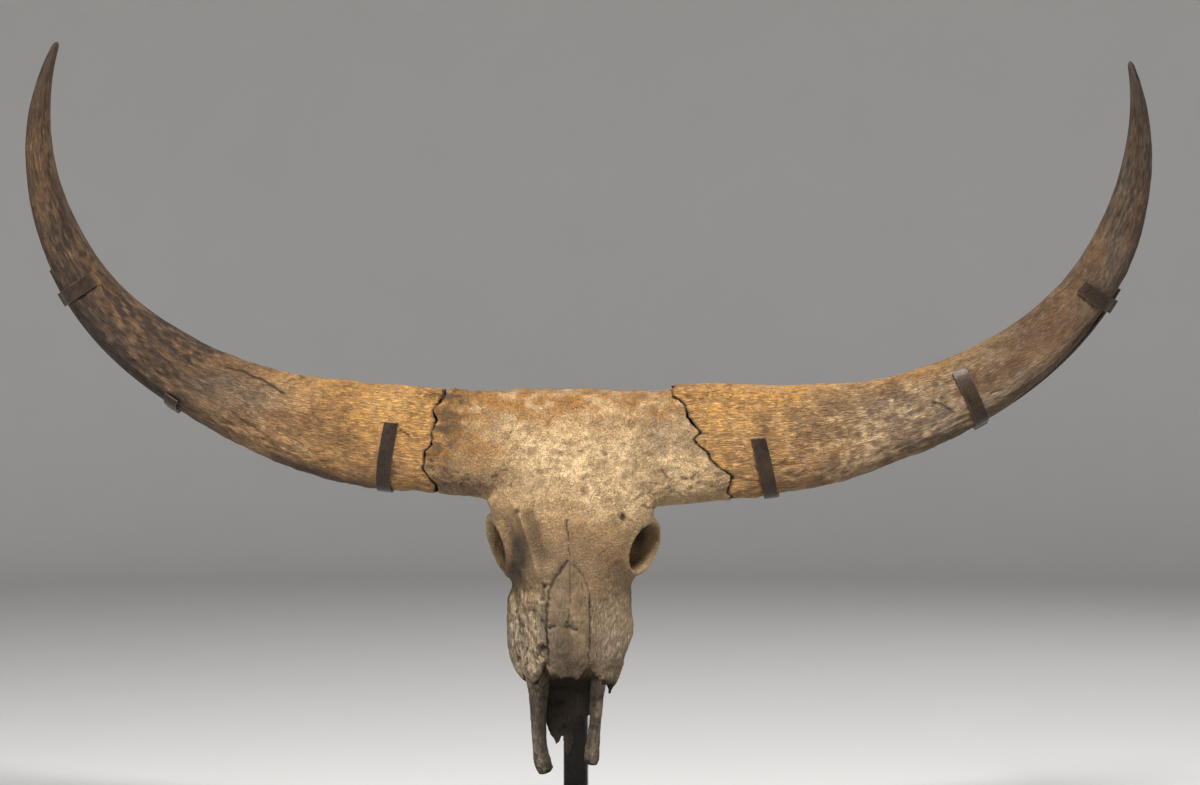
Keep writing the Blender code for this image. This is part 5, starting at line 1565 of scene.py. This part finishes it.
    def build_rest(self) -> bpy.types.Object:
        """The rest: a disc and rod turned about a level line, from the palate to the post."""
        low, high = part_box("stand_rest")
        face, back = low.y - POLL[1], high.y - POLL[1]
        profile = np.array((
            (0.0150, face), (0.0176, face + 0.0003), (0.0195, face + 0.0016), (0.0200, face + 0.0028),
            (0.0200, face + 0.0050), (0.0194, face + 0.0058), (0.0170, face + 0.0060), (0.0095, face + 0.0060),
            (0.0075, face + 0.0068), (0.0070, face + 0.0090), (0.0070, (face + back) / 2), (0.0070, back - 0.0006),
            (0.0064, back),
        ))
        angle = np.arange(48) * 2 * math.pi / 48
        grid = np.stack([
            profile[:, :1] * np.cos(angle), np.repeat(profile[:, 1:], 48, axis=1),
            self.rest_height + profile[:, :1] * np.sin(angle),
        ], axis=-1)
        total = grid.shape[0] * grid.shape[1]
        poles = [(0, face, self.rest_height), (0, back, self.rest_height)]
        vertices = np.concatenate([grid.reshape(-1, 3), poles]) + POLL
        marks = np.repeat((0.2, 0.6, 1, 0.6, 0.6, 1, 0.4, 0.1, 0.2, 0, 0, 0.4, 0.2), 48)
        skin = Skin(vertices, tube_faces(*grid.shape[:2], total, total + 1), {"edge": np.append(marks, (0, 0))})
        return self.finish("stand_rest", skin, DARK_STEEL)

    def build(self) -> None:
        """Makes every piece of the mount."""
        self.build_base()
        self.build_post()
        self.build_rest()
        for side in Side:
            self.build_arm(side)
            for word in self.clips[side]:
                self.build_clip(side, word)


# The room

@dataclass(frozen=True)
class Room:
    """A pale floor that curves up into a round wall, and soft light from above and in front."""

    key_power: float = 430.0
    fill_power: float = 125.0
    rim_power: float = 70.0
    radius: float = 9.0

    def floor(self) -> bpy.types.Object:
        """The floor: a level disc whose rim bends up into a wall, as one profile turned about the middle."""
        bend = np.linspace(0, math.pi / 2, 12)
        out = np.concatenate([np.linspace(0.3, self.radius - 2, 14), self.radius - 2 + 2 * np.sin(bend[1:]), [self.radius] * 3])
        up = np.concatenate([np.zeros(14), 2 * (1 - np.cos(bend[1:])), (4.0, 6.0, 9.0)])
        turn = np.arange(96) * 2 * math.pi / 96
        grid = np.stack([
            out[:, None] * np.cos(turn), out[:, None] * np.sin(turn), np.repeat(up[:, None], 96, axis=1),
        ], axis=-1)
        faces = tube_faces(*grid.shape[:2], grid.shape[0] * 96)[:, [1, 0, 3, 2]]
        faces = np.where(faces[:, 2:3] < 0, faces[:, [0, 1, 3, 2]], faces)
        points = np.concatenate([grid.reshape(-1, 3), [(0, 0, 0)]])
        thing = Skin(points, faces).object("studio_floor", Plaster())
        return thing

    def lamp(self, name: str, place: Sequence[float], aim: Sequence[float], size: float, power: float) -> None:
        """Hangs one soft square lamp that faces a point."""
        data = bpy.data.lights.new(name, "AREA")
        data.size = size
        data.energy = power
        thing = bpy.data.objects.new(name, data)
        bpy.context.scene.collection.objects.link(thing)
        thing.location = place
        thing.visible_camera = False
        way = np.asarray(aim, float) - np.asarray(place, float)
        level = math.hypot(way[0], way[1])
        thing.rotation_euler = (math.pi / 2 + math.atan2(way[2], level), 0, math.atan2(way[1], way[0]) - math.pi / 2)

    def build(self) -> None:
        """Sets out the floor, the lamps and the sky's soft light."""
        self.floor()
        self.lamp("key", (0.60, -2.75, 4.10), (0.05, -0.12, 0.62), 1.0, self.key_power)
        self.lamp("fill", (-4.0, -2.3, 1.5), (0.0, 0.0, 0.6), 1.2, self.fill_power)
        self.lamp("rim", (2.4, 3.4, 4.0), (0.0, 0.1, 0.8), 2.0, self.rim_power)
        world = bpy.data.worlds.new("soft_sky")
        world.use_nodes = True
        world.node_tree.nodes["Background"].inputs[0].default_value = (1.0, 0.985, 0.965, 1.0)
        world.node_tree.nodes["Background"].inputs[1].default_value = 0.24
        bpy.context.scene.world = world
        bpy.context.scene.view_settings.view_transform = "Standard"


def main() -> None:
    """Builds the room, the camera, the bones and the mount, and logs each piece's face count."""
    logging.basicConfig(level=logging.INFO, format="%(message)s")
    Room().build()
    PHOTO.camera()
    SkullBones().build()
    for horn in HORNS.values():
        horn.build()
    for bone in SNOUT:
        bone.build()
    Mount().build()


if __name__ == "__main__":
    main()
